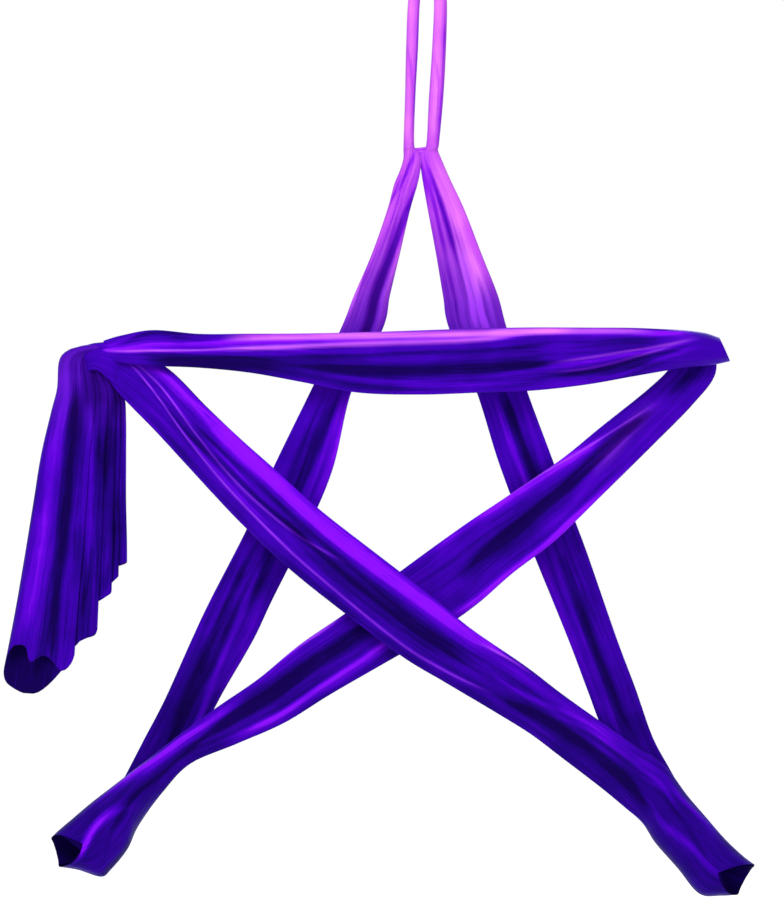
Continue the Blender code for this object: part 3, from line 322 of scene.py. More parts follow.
def smooth_line(points, count):
    """count points, evenly spaced by length, on a smooth curve through rows of numbers."""
    rows = np.asarray(points, float)
    last = len(rows) - 1
    at = np.linspace(0, last, TABLE_STEPS)
    i = np.minimum(at.astype(int), last - 1)
    t = (at - i)[:, None]
    a, b = rows[np.maximum(i - 1, 0)], rows[i]
    c, d = rows[i + 1], rows[np.minimum(i + 2, last)]
    fine = (b * 2 + (c - a) * t + (a * 2 - b * 5 + c * 4 - d) * t * t
            + (b * 3 - a - c * 3 + d) * t * t * t) / 2
    middle = (fine[:, :3] + fine[:, 3:6]) / 2 if fine.shape[1] > 5 else fine
    steps = np.linalg.norm(np.diff(middle, axis=0), axis=1)
    run = np.concatenate(([0], np.cumsum(steps)))
    even = np.linspace(0, run[-1], count)
    return np.stack([np.interp(even, run, column) for column in fine.T], axis=1), run[-1]


# Colours, nodes and materials


def linear(code):
    """An sRGB hex colour as linear red, green, blue and alpha."""
    parts = [int(code[i:i + 2], 16) / 255 for i in (1, 3, 5)]
    return tuple(p / 12.92 if p <= 0.04045 else ((p + 0.055) / 1.055) ** 2.4 for p in parts) + (1.0,)


def add(tree, kind, *sockets, stops=(), **settings):
    """One node of a kind, with its settings, and each socket's value or the output linked to it.

    stops, (place, hex colour), are those of a colour ramp.
    """
    node = tree.nodes.new("ShaderNode" + kind)
    for key, value in settings.items():
        setattr(node, key, value)
    for socket, value in sockets:
        if isinstance(value, bpy.types.NodeSocket):
            tree.links.new(value, node.inputs[socket])
        else:
            node.inputs[socket].default_value = value
    if stops:
        node.color_ramp.interpolation = 'EASE'
    for i, (place, code) in enumerate(stops):
        elements = node.color_ramp.elements
        element = elements[i] if i < len(elements) else elements.new(place)
        element.position = place
        element.color = linear(code)
    return node


def new_material(name):
    """A material with its node tree and its shader."""
    material = bpy.data.materials.new(name)
    material.use_nodes = True
    tree = material.node_tree
    return material, tree, tree.nodes["Principled BSDF"]


def make_tricot():
    """Satin nylon tricot, blue violet, turned pink violet at the top by painted pink light and darker at
    the foot by painted shade.

    The knit is smooth and the light slides along its folds, with a soft sheen at a glance; the bright
    ridges are a painted highlight and the deep saturated valleys painted shade. Its wales, about 0.6 mm
    apart in real tricot, come out 1.7 mm apart on the gathered face, about three times as coarse, so that
    they show.
    """
    material, tree, shader = new_material("nylon tricot, satin")
    place = add(tree, "TexCoord").outputs["Object"]
    cloth = add(tree, "UVMap", uv_map="cloth").outputs["UV"]
    # Both attributes paint light: painted shade in valleys with painted highlights on ridges, and painted
    # pink light from above
    fold_shading = add(tree, "Attribute", attribute_name="fold_shading").outputs["Fac"]
    pale = add(tree, "Attribute", attribute_name="pale").outputs["Fac"]
    clouds = add(tree, "TexNoise", ("Vector", place), ("Scale", 1 / DYE_CLOUD), ("Detail", 3.0),
                 ("Roughness", 0.5)).outputs["Fac"]
    drawn = add(tree, "Mapping", ("Vector", cloth), ("Scale", (1 / SLUB_WIDE, 1 / SLUB_LONG, 1.0)))
    slubs = add(tree, "TexNoise", ("Vector", drawn.outputs["Vector"]), ("Scale", 1.0), ("Detail", 3.0),
                ("Roughness", 0.55)).outputs["Fac"]
    height = fold_shading
    for pattern, share in ((clouds, 0.5), (slubs, 0.75)):
        swing = add(tree, "Math", (0, pattern), (1, 0.5), operation='SUBTRACT').outputs[0]
        height = add(tree, "Math", (0, swing), (1, share), (2, height),
                     operation='MULTIPLY_ADD').outputs[0]
    height = add(tree, "Clamp", ("Value", height)).outputs[0]
    # The dye with painted shade in the valleys and painted highlights on the ridges, mixed towards its
    # colours under painted pink light from above
    deep = add(tree, "ValToRGB", ("Fac", height), stops=FOLD_SHADED_DYE).outputs["Color"]
    bright = add(tree, "ValToRGB", ("Fac", height), stops=PINK_LIT_COLOURS).outputs["Color"]
    dye_and_painted_light = add(tree, "Mix", (0, pale), (6, deep), (7, bright), data_type='RGBA')
    tree.links.new(dye_and_painted_light.outputs[2], shader.inputs["Base Color"])
    gloss = add(tree, "Math", (0, clouds), (1, 0.12), (2, 0.44), operation='MULTIPLY_ADD')
    tree.links.new(gloss.outputs[0], shader.inputs["Roughness"])
    shader.inputs["IOR"].default_value = 1.30
    shader.inputs["Specular IOR Level"].default_value = 0.20
    shader.inputs["Specular Tint"].default_value = linear("#5A10E0")

    wales = add(tree, "TexWave", ("Vector", cloth), ("Scale", WAVE_TURN / WALE_STEP), ("Distortion", 0.6),
                ("Detail", 1.0), bands_direction='X').outputs["Fac"]
    relief = add(tree, "Math", (0, wales), (1, 0.12), (2, slubs), operation='MULTIPLY_ADD')
    bump = add(tree, "Bump", ("Height", relief.outputs[0]), ("Strength", 0.35), ("Distance", 0.9 * MM))
    tree.links.new(bump.outputs["Normal"], shader.inputs["Normal"])
    return material


def make_metal(name, tone, dull, rough, grain_mm, stretch=(1.0, 1.0, 1.0), worn="#FFFFFF", wear=0.0):
    """A bare or coated metal: a tone that drifts to a duller one, with grain in its gloss.

    The grain is grain_mm wide and drawn out along an axis whose stretch is under 1. Edges are worn to
    the tone worn, by the share wear.
    """
    material, tree, shader = new_material(name)
    place = add(tree, "TexCoord").outputs["Object"]
    lay_of_grain = add(tree, "Mapping", ("Vector", place), ("Scale", stretch)).outputs["Vector"]
    clouds = add(tree, "TexNoise", ("Vector", place), ("Scale", 1 / METAL_CLOUD), ("Detail", 4.0))
    grain = add(tree, "TexNoise", ("Vector", lay_of_grain), ("Scale", 1 / (grain_mm * MM)),
                ("Detail", 3.0)).outputs["Fac"]
    colour = add(tree, "Mix", (0, clouds.outputs["Fac"]), (6, linear(tone)), (7, linear(dull)),
                 data_type='RGBA')
    edge = add(tree, "NewGeometry").outputs["Pointiness"]
    rub = add(tree, "MapRange", ("Value", edge), ("From Min", 0.52), ("From Max", 0.60), ("To Max", wear))
    rubbed = add(tree, "Mix", (0, rub.outputs["Result"]), (6, colour.outputs[2]), (7, linear(worn)),
                 data_type='RGBA')
    tree.links.new(rubbed.outputs[2], shader.inputs["Base Color"])
    gloss = add(tree, "Math", (0, grain), (1, GRAIN_GLOSS), (2, rough - GRAIN_GLOSS / 2),
                operation='MULTIPLY_ADD')
    tree.links.new(gloss.outputs[0], shader.inputs["Roughness"])
    shader.inputs["Metallic"].default_value = 1.0
    bump = add(tree, "Bump", ("Height", grain), ("Strength", 0.12), ("Distance", 0.2 * MM))
    tree.links.new(bump.outputs["Normal"], shader.inputs["Normal"])
    return material


def make_rubber():
    """Moulded nitrile rubber: nearly black, matte, with a fine stipple from its mould."""
    material, tree, shader = new_material("nitrile rubber, moulded")
    place = add(tree, "TexCoord").outputs["Object"]
    stipple = add(tree, "TexNoise", ("Vector", place), ("Scale", 1 / RUBBER_STIPPLE),
                  ("Detail", 3.0)).outputs["Fac"]
    colour = add(tree, "ValToRGB", ("Fac", stipple), stops=((0.3, "#141414"), (0.7, "#242424")))
    tree.links.new(colour.outputs["Color"], shader.inputs["Base Color"])
    shader.inputs["Roughness"].default_value = 0.72
    bump = add(tree, "Bump", ("Height", stipple), ("Strength", 0.25), ("Distance", 0.2 * MM))
    tree.links.new(bump.outputs["Normal"], shader.inputs["Normal"])
    return material


# Stretches of folded cloth


class Stretch:
    """The lie of one stretch: its two edge lines, and what follows from them at any place."""

    def __init__(self, rows):
        self.rows, self.length = smooth_line(rows, TABLE_STEPS)
        self.at = np.linspace(0, 1, TABLE_STEPS)
        one, other = self.rows[:, :3], self.rows[:, 3:6]
        along = np.gradient((one + other) / 2, axis=0)
        if self.rows.shape[1] > 6:
            normal = self.rows[:, 6:9]
        else:
            normal = np.cross(along, other - one)
            normal[normal[:, 1] > 0] *= -1
        self.normal = normal / np.linalg.norm(normal, axis=1)[:, None]
        self.width = np.linalg.norm(other - one, axis=1)

    def read(self, columns, q):
        """Values of some columns of a table at places q along the stretch."""
        return np.stack([np.interp(q, self.at, column) for column in columns.T], axis=-1)

    def wide(self, q):
        """The width at places q."""
        return np.interp(q, self.at, self.width)

    def edges(self, q):
        """The two edges at places q."""
        return self.read(self.rows[:, :3], q), self.read(self.rows[:, 3:6], q)

    def middle_places(self, q, s):
        """Places between the two edges, at shares q along and s across."""
        one, other = self.edges(q)
        return one + (other - one) * s[..., None]

    def locate(self, points):
        """Pixels of the photograph as (q, s): shares along and across the stretch, in order of q."""
        one, other = self.rows[:, (0, 2)], self.rows[:, (3, 5)]
        across = other - one
        found = []
        for x, y in points:
            spot = np.array(((x - AXIS_PX) * PIXEL, VIEW_TOP_Z - y * PIXEL)) - one
            s = (spot * across).sum(axis=1) / (across ** 2).sum(axis=1)
            off = np.abs(spot[:, 0] * across[:, 1] - spot[:, 1] * across[:, 0]) / self.width
            off += np.maximum(np.abs(s - 0.5) - MARK_OUTSIDE, 0.0)
            i = int(np.argmin(np.abs(off)))
            found.append((self.at[i], s[i]))
        return np.array(sorted(found))


def swell(run, steady, rates, rng, shift=0.0):
    """A share that rises and falls along a run in metres, at a rate drawn by lot."""
    return steady + (1 - steady) * np.sin(2 * pi * (run * rng.uniform(*rates) + rng.uniform(0, 1)) + shift)


def crease(off):
    """The section of a crease: deepest where off is 0, and gone at 1."""
    return (1 - off) ** 2 * (1 + off)


def tension_folds(lie, s, q, rng):
    """Fine folds drawn tight along a stretch, in metres, with round ridges and narrow valleys."""
    total = np.zeros_like(s)
    for span, high_mm in FOLD_KINDS:
        bends = rng.uniform(-1, 1, (3, 3))
        spot = PANEL_WIDTH / span * s + rng.uniform(0, 1)
        for n, (reach, start, _) in enumerate(bends, 1):
            bow = np.sin(n * pi * q * (lie.length + SWAY_OVERRUN) + start * pi)
            spot = spot + reach * FOLD_SWAY / n ** 1.5 * bow
        spot = spot + bends[0, 2] * FOLD_LEAN * (q - 0.5) * 4 * s * (1 - s)
        high = high_mm * MM * swell(q * lie.length, FOLD_STEADY, FOLD_RATES, rng, FOLD_SLANT * s)
        total += high * (np.sqrt(np.sin(pi * spot) ** 2 + VALLEY_ROUND) - RIDGE_MEAN)
    return total * np.sqrt(np.clip(lie.wide(q) / PANEL_WIDTH, 0.0, 1.0))


def back_creases(lie, s, q, rng):
    """The few deep creases that run along the back of a stretch, in metres."""
    total = np.zeros_like(s)
    for _ in range(BACK_CREASES):
        middle, slant = rng.uniform(*CREASE_PLACES), rng.uniform(*CREASE_SLANTS)
        deep = BACK_CREASE_DEEP * rng.uniform(*CREASE_SHARES)
        off = np.abs(s - middle - slant * (q - 0.5)) / rng.uniform(*CREASE_REACHES)
        deep = deep * swell(q * lie.length, CREASE_STEADY, CREASE_RATES, rng)
        total -= deep * crease(np.minimum(off, 1.0))
    return total


def pink_light_at(z):
    """How much painted pink light from above the cloth shows at heights z: all of it down to the knot."""
    return np.interp((VIEW_TOP_Z - z) / PIXEL, PINK_LIGHT_PX, PINK_LIGHT_SHARES)


def drawn_folds(lie, marks, s, q):
    """The folds that show singly, in metres: ridges, and creases where the height is below zero."""
    total = np.zeros_like(s)
    fade = MARK_FADE / lie.length
    for high_mm, reach_a, reach_b, points in marks:
        line = lie.locate(points)
        bend = np.polyfit(line[:, 0], line[:, 1], min(len(points) - 1, 4))
        start, end = line[0, 0], line[-1, 0]
        ends = smooth_step(start - fade, start + fade, q) * (1 - smooth_step(end - fade, end + fade, q))
        off = (s - np.polyval(bend, q)) * lie.wide(q) / PIXEL
        off = np.clip(np.where(off < 0, -off / reach_a, off / reach_b), 0.0, 1.0)
        total += high_mm * MM * ends * (crease(off) if high_mm < 0 else (1 - off * off) ** 2)
    return total


def stack_columns(stack):
    """Each column of a folded sheet as (layer, share across), folded to and fro."""
    layers, shares = [], []
    for k in range(stack):
        count = FRONT_COLUMNS if k == 0 else BACK_COLUMNS if k == stack - 1 else INNER_COLUMNS
        run = np.linspace(0, 1, count)
        run = 0.5 - 0.5 * np.cos(pi * run) if count < FRONT_COLUMNS else run
        layers += [float(k)] * count
        shares += list(run if k % 2 == 0 else 1 - run)
        if k < stack - 1:
            layers.append(k + 0.5)
            shares.append(1.0 if k % 2 == 0 else 0.0)
    return np.array(layers), np.array(shares)


def put(name, data):
    """An object in the scene with its mesh, lamp or camera."""
    thing = bpy.data.objects.new(name, data)
    bpy.context.scene.collection.objects.link(thing)
    return thing


def mesh_of(name, shape):
    """The mesh of a finished bmesh, which it frees."""
    mesh = bpy.data.meshes.new(name)
    shape.to_mesh(mesh)
    shape.free()
    return mesh


def cloth_grid(name, points, fold_shading, pale):
    """A sheet with points by row and column, its cloth coordinates in metres and its attributes."""
    rows, columns = points.shape[:2]
    shape = bmesh.new()
    shape.loops.layers.uv.new("cloth")
    bmesh.ops.create_grid(shape, x_segments=columns - 1, y_segments=rows - 1, size=1.0, calc_uvs=True)
    mesh = mesh_of(name, shape)
    flat = np.empty(len(mesh.vertices) * 3)
    mesh.vertices.foreach_get("co", flat)
    flat = flat.reshape(-1, 3)
    column = np.rint((flat[:, 0] + 1) / 2 * (columns - 1)).astype(int)
    row = np.rint((flat[:, 1] + 1) / 2 * (rows - 1)).astype(int)
    mesh.vertices.foreach_set("co", points[row, column].ravel())
    steps = np.linalg.norm(np.diff(points, axis=0), axis=2)
    down = np.concatenate((np.zeros((1, columns)), np.cumsum(steps, axis=0)))
    corner = np.empty(len(mesh.loops), int)
    mesh.loops.foreach_get("vertex_index", corner)
    across = column[corner] / (columns - 1) * CLOTH_WIDE
    spread = np.stack((across, down[row[corner], column[corner]]), axis=1)
    mesh.uv_layers["cloth"].data.foreach_set("uv", spread.ravel())
    # The attributes are painted light: shade and highlight by the folds, and pink light from above
    for label, values in (("fold_shading", fold_shading), ("pale", pale)):
        layer = mesh.attributes.new(label, 'FLOAT', 'POINT')
        layer.data.foreach_set("value", np.clip(values, 0, 1)[row, column].astype(np.float32))
    mesh.shade_smooth()
    mesh.update()
    return put(name, mesh)


def half_thick(lie, q, wide, bundle, from_hitch):
    """Half the thickness of the stack: by its width, or for a bundle from its (middle, end) values."""
    if bundle:
        middle, end = bundle
        return end + (middle - end) * np.sin(pi * q) ** BUNDLE_TAPER
    thick = PANEL_HALF_THICK * np.sqrt(PANEL_WIDTH / wide)
    if from_hitch:
        thick = LEG_THICK_HALF + (thick - LEG_THICK_HALF) * smooth_step(0.0, LEAD_LENGTH, q * lie.length)
    return thick


def oval(u, edge, power):
    """The section of a stack across u, as shares of its half thickness."""
    return edge + (1 - edge) * np.sqrt(np.clip(1 - np.abs(2 * u - 1) ** power, 0, 1))


def fold_stretch(name, lie, seed, marks=(), light_and_shade_marks=(), pink_highlight_marks=(), sleeve=None, stack=LAYERS,
                 bundle=None, fine=1.0, tone=0.5, from_hitch=False):
    """One stretch of the cloth folded into a stack, opened into a sleeve at its far end if asked.

    The stack parts in its middle from the sleeve's start share on, and is a full tube from the
    second share on. What comes down from the hitch takes on its thickness, its seam and the painted pink
    light from above.
    """
    rng = np.random.default_rng(seed)
    layer, across = stack_columns(stack)
    q, k = np.meshgrid(np.linspace(0, 1, int(lie.length / ROW_STEP)), layer, indexing='ij')
    u = np.broadcast_to(across, q.shape)
    on_face, on_back, in_front = k < 0.25, k > stack - 1.25, k < stack / 2 - 0.5

    opened, deep = 0.0, 0.0
    if sleeve:
        start, full, deep, notch, notch_at = sleeve
        rim = notch * in_front * np.clip(1 - np.abs(u - notch_at) / NOTCH_REACH, 0, 1) ** NOTCH_POWER
        q = np.where(q > start, start + (q - start) * (1 - rim / (1 - start)), q)
        opened = smooth_step(start, full, q)

    wide = lie.wide(q)
    thick = half_thick(lie, q, wide, bundle, from_hitch)
    flat_crown, round_crown = oval(u, *FLAT_OVAL), oval(u, *STOUT_OVAL)
    stout = np.clip(STOUT_RISE * thick / wide - STOUT_FROM, 0.0, 1.0)
    crown = flat_crown + (round_crown - flat_crown) * stout
    calm = smooth_step(0.0, SEAM_CALM, q * lie.length) if from_hitch else 1.0
    if bundle:
        calm = calm * smooth_step(0.0, SEAM_CALM, (1 - q) * lie.length)
    drawn = drawn_folds(lie, marks, u, q) * calm
    folds = drawn + tension_folds(lie, u, q, rng) * fine * calm
    back_folds = (tension_folds(lie, u, q, rng) * fine * BACK_COARSE + back_creases(lie, u, q, rng)) * calm
    share = k / (stack - 1)
    back = -(thick + back_folds) * crown
    floor = (thick + np.minimum(drawn, 0) - INNER_DROP * fine) * crown
    inner = floor + (back * INNER_REACH - floor) * share
    height = np.where(on_face, (thick + folds) * crown, np.where(on_back, back, inner))

    by_layer, by_length = STAGGER_RATES
    inset = INNER_STAGGER * np.sin(pi * share) * (1 + np.sin(by_layer * k + by_length * q))
    flat_s = inset + (1 - 2 * inset) * u
    depth_in = np.where(in_front, share, 1 - share) * 2 * SLEEVE_WALL
    round_s = 0.5 - 0.5 * (1 - 2 * depth_in / wide) * np.cos(pi * u)
    tube = (deep - depth_in) * np.sin(pi * u) * np.where(in_front, 1, -1)
    tube += np.where(in_front, folds * on_face, back * SLEEVE_BACK_SHARE * on_back)
    s = flat_s + (round_s - flat_s) * opened
    height = height + (tube - height) * opened
    points = lie.middle_places(q, s) + lie.read(lie.normal, q) * height[..., None]

    # Painted light and shade: lighter on the ridges of the folds and on marks of painted light, darker in
    # their valleys, on marks of painted shade, on the inner layers and towards the foot
    rise = folds / FULL_FOLD * FRONT_CONTRAST + tone + drawn_folds(lie, light_and_shade_marks, u, q) / MM
    back_rise = back_folds / FULL_FOLD * BACK_CONTRAST + tone
    fold_shading = np.where(on_face, rise, np.where(on_back, back_rise, INNER_SHADE))
    light, dark = [VIEW_TOP_Z - y * PIXEL for y in FOOT_SHADE_PX]
    fold_shading = fold_shading - FOOT_SHADE * smooth_step(light, dark, points[..., 2])
    # Painted pink light from above on what comes down from the hitch, and painted pink highlights on the
    # face
    pale = pink_light_at(points[..., 2]) * from_hitch + drawn_folds(lie, pink_highlight_marks, u, q) / MM * on_face
    return cloth_grid(name, points, fold_shading, pale)


# Edge lines of the stretches: a pixel on one edge, one on the other, and the depth share of both,
# or of the one and then of the other

LEFT_CLOTH_PX = (
    (413.4, -36, 424.3, -36, -0.573),
    (412.6, -24, 423.8, -24, -0.560),
    (408, 2, 420, 2, -0.44),
    (406, 50, 418, 50, -0.29),
    (405, 96, 415.5, 96, -0.16),
    (403.5, 143, 414.3, 143, -0.06),
    (403.5, 149, 418.6, 151, -0.07, -0.04),
    (403.5, 158, 421.6, 158, -0.08, -0.04),
    (399.5, 171, 420.2, 171, -0.07, -0.05),
    (394, 184, 417.5, 184, -0.05),
    (387, 210, 410, 210, -0.06),
    (372, 253, 400, 253, -0.12),
    (354, 295, 390, 295, -0.18),
    (341, 328, 383, 328, -0.22),
    (311, 390, 352, 390, -0.28),
    (273, 468, 333, 468, -0.26),
    (247, 528, 308, 528, -0.16),
    (210, 600, 272, 600, 0.04),
    (191, 640, 253, 640, 0.18),
    (164, 700, 224, 690, 0.38),
    (142, 742, 198, 736, 0.50),
    (127.5, 770, 160, 782, 0.52),
    (112, 800, 140, 822, 0.50),
)
RIGHT_CLOTH_PX = (
    (431.7, -36, 442.6, -36, -0.573),
    (432.0, -24, 443.6, -24, -0.560),
    (434, 2, 447, 2, -0.44),
    (432, 50, 446, 50, -0.29),
    (429, 96, 443.5, 96, -0.16),
    (426.4, 143, 439.2, 143, -0.06),
    (421.6, 151, 438, 149, -0.01, -0.04),
    (420.0, 158, 441.5, 158, -0.01, -0.05),
    (421.4, 171, 447, 171, -0.02, -0.05),
    (423.0, 182, 452, 182, -0.02, -0.04),
    (428, 210, 465, 210, -0.06),
    (436, 253, 481.5, 253, -0.12),
    (443, 295, 498, 295, -0.18),
    (449, 328, 507, 328, -0.22),
    (476, 390, 527, 390, -0.25),
    (498, 460, 553, 460, -0.20),
    (521, 522, 576, 522, -0.10),
    (535, 557, 589, 557, -0.02),
    (569, 640, 618, 640, 0.20),
    (588, 690, 637, 690, 0.36),
    (606, 735, 654, 738, 0.48),
    (634, 775, 670, 768, 0.53),
    (664, 812, 688, 800, 0.52),
)
REAR_CLOTH_PX = (
    (676, 344, 716, 344, 0.43),
    (672, 366, 717, 374, 0.36),
    (648, 390, 694, 404, 0.12),
    (600, 428, 655, 443, -0.30),
    (560, 460, 605, 492, -0.60),
    (507, 496, 555, 540, -0.80),
    (468, 522, 512, 573, -0.92),
    (430, 549, 475, 605, -0.99),
    (388, 580, 430, 636, -1.02),
    (345, 613, 380, 665, -0.98),
    (300, 644, 330, 694, -0.90),
    (259, 678, 285, 722, -0.78),
    (217, 707, 238, 743, -0.62),
    (182, 733, 190, 764, -0.42),
    (155, 754, 162, 793, -0.18),
    (134, 770, 138, 826, -0.03),
    (112, 787, 127, 850, 0.0),
    (90, 804, 110, 871, 0.0),
    (70, 821, 100, 878, 0.0),
    (57, 832, 77, 871, 0.0),
    (50, 839, 58, 868, 0.0),
)
FRONT_CLOTH_PX = (
    (98, 347, 100, 368, 0.0),
    (128, 349, 118, 393, -0.04, 0.0),
    (167, 368, 158, 434, -0.18, -0.14),
    (206, 406, 189, 467, -0.60),
    (240, 438, 215, 495, -0.90),
    (273, 467, 245, 526, -1.15),
    (320, 509, 291, 569, -1.35),
    (378, 554, 345, 612, -1.48),
    (430, 594, 402, 655, -1.50),
    (470, 627, 445, 681, -1.42),
    (525, 665, 495, 711, -1.20),
    (560, 692, 530, 733, -0.98),
    (596, 718, 560, 756, -0.72),
    (634, 745, 600, 787, -0.38),
    (658, 760, 625, 808, -0.12),
    (672, 774, 643, 824, 0.0),
    (688, 796, 656, 844, 0.0),
    (706, 817, 678, 869, 0.0),
    (726, 840, 700, 895, 0.0),
    (744, 857, 722, 897, 0.0),
    (756, 866, 739, 896, 0.0),
)
BAND_CLOTH_PX = (
    (104, 340, 104, 360, -0.04),
    (122, 335, 122, 363, -0.18),
    (154, 330, 156, 366, -0.42),
    (200, 334, 200, 368, -0.62),
    (250, 334, 250, 373, -0.82),
    (300, 334, 300, 382, -1.02),
    (358, 333, 358, 393, -1.16),
    (420, 331, 420, 395, -1.22),
    (480, 329, 480, 393, -1.20),
    (532, 328, 532, 391, -1.10),
    (585, 328, 585, 385, -0.92),
    (630, 328, 630, 377, -0.66),
    (662, 329, 664, 371, -0.36),
    (686, 330, 690, 367, -0.10),
    (706, 332.5, 712, 365, 0.0),
    (720, 337, 731, 361, 0.0),
)

# Lines that a fold and the light on it share
REAR_PLEAT = ((337, 619), (300, 645), (267, 669), (230, 697))
FRONT_PLEAT = (
    (130, 366), (148, 378), (172, 420), (208, 463), (239, 496), (257, 517), (305, 562), (349, 604),
    (404, 642), (444, 669), (479, 686),
)
FRONT_CREST = (
    (138, 366), (155, 378), (183, 417), (203, 440), (229, 473), (262, 506), (292, 530), (337, 557),
)
FRONT_NICK = ((489, 647), (504, 655), (519, 664))

# Folds that show singly: height in mm, reach to each side in pixels, and their line in pixels
LEFT_FOLDS = (
    (-2.6, 4, 3, ((407.5, 50), (411, 66), (412.5, 84))),
    (-3.0, 3, 3, ((414, 152), (410, 163), (405, 176), (398, 190))),
    (2.4, 4, 4, ((409, 146), (407, 154), (403, 166))),
    (1.6, 3, 3, ((417, 156), (413, 172), (406, 192))),
    (-4.0, 7, 8, ((409, 205), (400, 228), (391, 250), (378, 283), (366, 326), (350, 366))),
    (2.6, 4, 4, ((412, 215), (406, 236), (389, 283), (377, 326))),
    (2.2, 3, 4, ((389, 206), (378, 230), (362, 274), (349, 312))),
    (1.6, 2, 3, ((402, 196), (388, 236), (372, 278), (356, 322))),
    (-2.6, 5, 6, ((322, 400), (300, 452), (281, 500), (262, 540))),
    (2.6, 6, 8, ((342, 400), (322, 452), (302, 500), (284, 545))),
    (-2.6, 5, 7, ((246, 560), (226, 605), (208, 650), (190, 695), (168, 745))),
    (2.8, 7, 6, ((262, 560), (244, 605), (226, 650), (206, 700), (184, 745))),
)
RIGHT_FOLDS = (
    (-1.8, 3, 3, ((435, 60), (439, 85), (438, 121), (437, 140))),
    (-3.4, 5, 3, ((428, 162), (436, 190), (444, 212), (455, 256), (466, 301), (471, 330))),
    (2.8, 3, 6, ((432, 168), (449, 212), (460, 256), (470, 301), (476, 330))),
    (-2.0, 2, 2, ((452, 220), (463, 256), (473, 292))),
    (-5.0, 3, 5, ((478, 280), (482, 292), (486, 310), (492, 328))),
    (2.0, 2, 2, ((476, 283), (478, 294), (482, 310))),
    (-3.0, 5, 5, ((505, 393), (515, 420), (532, 467), (556, 520))),
    (2.8, 5, 6, ((494, 393), (506, 430), (523, 475), (545, 522))),
    (-2.6, 6, 5, ((566, 560), (584, 610), (604, 665), (630, 730))),
    (2.6, 6, 6, ((554, 560), (574, 615), (594, 670), (618, 730))),
)
REAR_FOLDS = (
    (2.6, 3, 3, ((652, 408), (620, 427), (571, 457), (510, 494))),
    (3.0, 7, 7, ((590, 448), (552, 469), (515, 494), (481, 518))),
    (-4.4, 8, 10, ((640, 420), (596, 458), (556, 493), (520, 524), (488, 550))),
    (3.2, 7, 5, ((620, 476), (576, 518), (533, 555), (490, 588), (454, 614))),
    (1.8, 2, 2, REAR_PLEAT),
    (1.6, 2, 2, ((345, 624), (306, 651), (272, 676))),
    (-4.2, 8, 8, ((392, 606), (350, 636), (306, 668), (262, 700), (222, 724))),
    (3.2, 6, 4, ((389, 639), (342, 672), (297, 704), (252, 728))),
    (3.0, 4, 5, ((200, 727), (149, 765), (122, 787), (92, 812))),
    (-3.0, 5, 5, ((206, 736), (162, 774), (134, 800), (110, 832))),
    (2.0, 4, 4, ((130, 806), (113, 818), (91, 841), (68, 857))),
)
FRONT_FOLDS = (
    (2.4, 3, 3, FRONT_PLEAT),
    (2.0, 3, 3, FRONT_CREST),
    (3.4, 8, 7, ((145, 364), (160, 371), (193, 404), (229, 438), (280, 476), (334, 545), (404, 590),
                 (454, 619), (504, 654))),
    (-3.4, 6, 6, ((192, 424), (222, 450), (256, 482), (302, 524), (352, 568), (410, 615), (462, 650))),
    (-2.0, 4, 4, ((300, 545), (330, 572), (380, 612), (440, 654))),
    (2.0, 3, 2, FRONT_NICK),
    (2.6, 5, 5, ((500, 680), (528, 696), (566, 712), (600, 730))),
    (2.8, 4, 4, ((560, 716), (600, 737), (640, 768), (672, 806))),
    (-3.6, 6, 5, ((520, 706), (560, 728), (600, 758), (640, 796))),
    (2.4, 4, 4, ((668, 790), (684, 809), (709, 832))),
    (2.6, 4, 4, ((660, 815), (687, 841), (723, 875))),
    (-2.6, 4, 4, ((655, 790), (680, 822), (702, 852))),
)
BAND_FOLDS = (
    (3.0, 3, 4, ((101, 350), (150, 351), (203, 351), (280, 348), (360, 344), (450, 340.6), (520, 336))),
    (-3.0, 4, 8, ((152, 357), (203, 359), (280, 358), (360, 356), (450, 352), (540, 345))),
    (2.2, 5, 6, ((290, 369), (360, 380), (450, 386), (520, 382))),
    (-2.4, 5, 5, ((330, 366), (400, 370), (480, 370), (560, 360))),
    (2.6, 4, 5, ((498, 375), (550, 368), (596, 361), (640, 352), (689, 344))),
    (2.2, 3, 4, ((600, 378), (615, 376), (657, 359), (694, 347))),
    (-2.8, 4, 4, ((560, 376), (606, 368), (648, 356), (690, 346))),
    (2.0, 2, 3, ((108, 345), (120, 341), (134, 335))),
    (1.8, 2, 3, ((112, 349), (140, 345), (200, 343), (260, 342))),
    (-2.0, 3, 3, ((112, 346), (140, 340), (190, 339))),
)

# Painted light and shade on the cloth: painted highlights where the tone is above 0, painted shade where it
# is below, and painted pink highlights of the light from above; each with its tone, reach to each side in
# pixels, and their line
LEFT_PINK_HIGHLIGHTS = (
    (0.2, 10, 8, ((392, 210), (376, 246), (360, 284), (346, 322))),
    (0.25, 3, 3, ((406, 214), (398, 250), (389, 288), (380, 324))),
)
LEFT_LIGHT_AND_SHADE = (
    (-0.6, 5, 5, ((412, 196), (402, 225), (393, 250), (381, 283), (369, 326), (350, 366))),
    (-0.2, 8, 8, ((404, 190), (396, 215), (388, 240))),
    (0.22, 8, 6, ((390, 210), (376, 244), (360, 280), (346, 320))),
    (-0.3, 2, 2, ((400, 180), (386, 216), (373, 250), (360, 290))),
    (0.36, 8, 9, ((411, -20), (411, 20), (410, 60), (408, 100), (407, 140))),
    (-0.22, 2, 3, ((418.5, 10), (416.5, 60), (414, 100), (412.5, 135))),
    (-0.4, 14, 14, ((336, 400), (306, 470), (276, 540), (250, 600))),
    (-0.35, 14, 12, ((208, 640), (192, 680), (176, 716))),
    (0.35, 9, 9, ((350, 396), (335, 450), (318, 500))),
    (-0.3, 12, 14, ((240, 600), (218, 650), (192, 700), (168, 744))),
    (0.25, 9, 9, ((262, 600), (243, 650), (220, 692))),
)
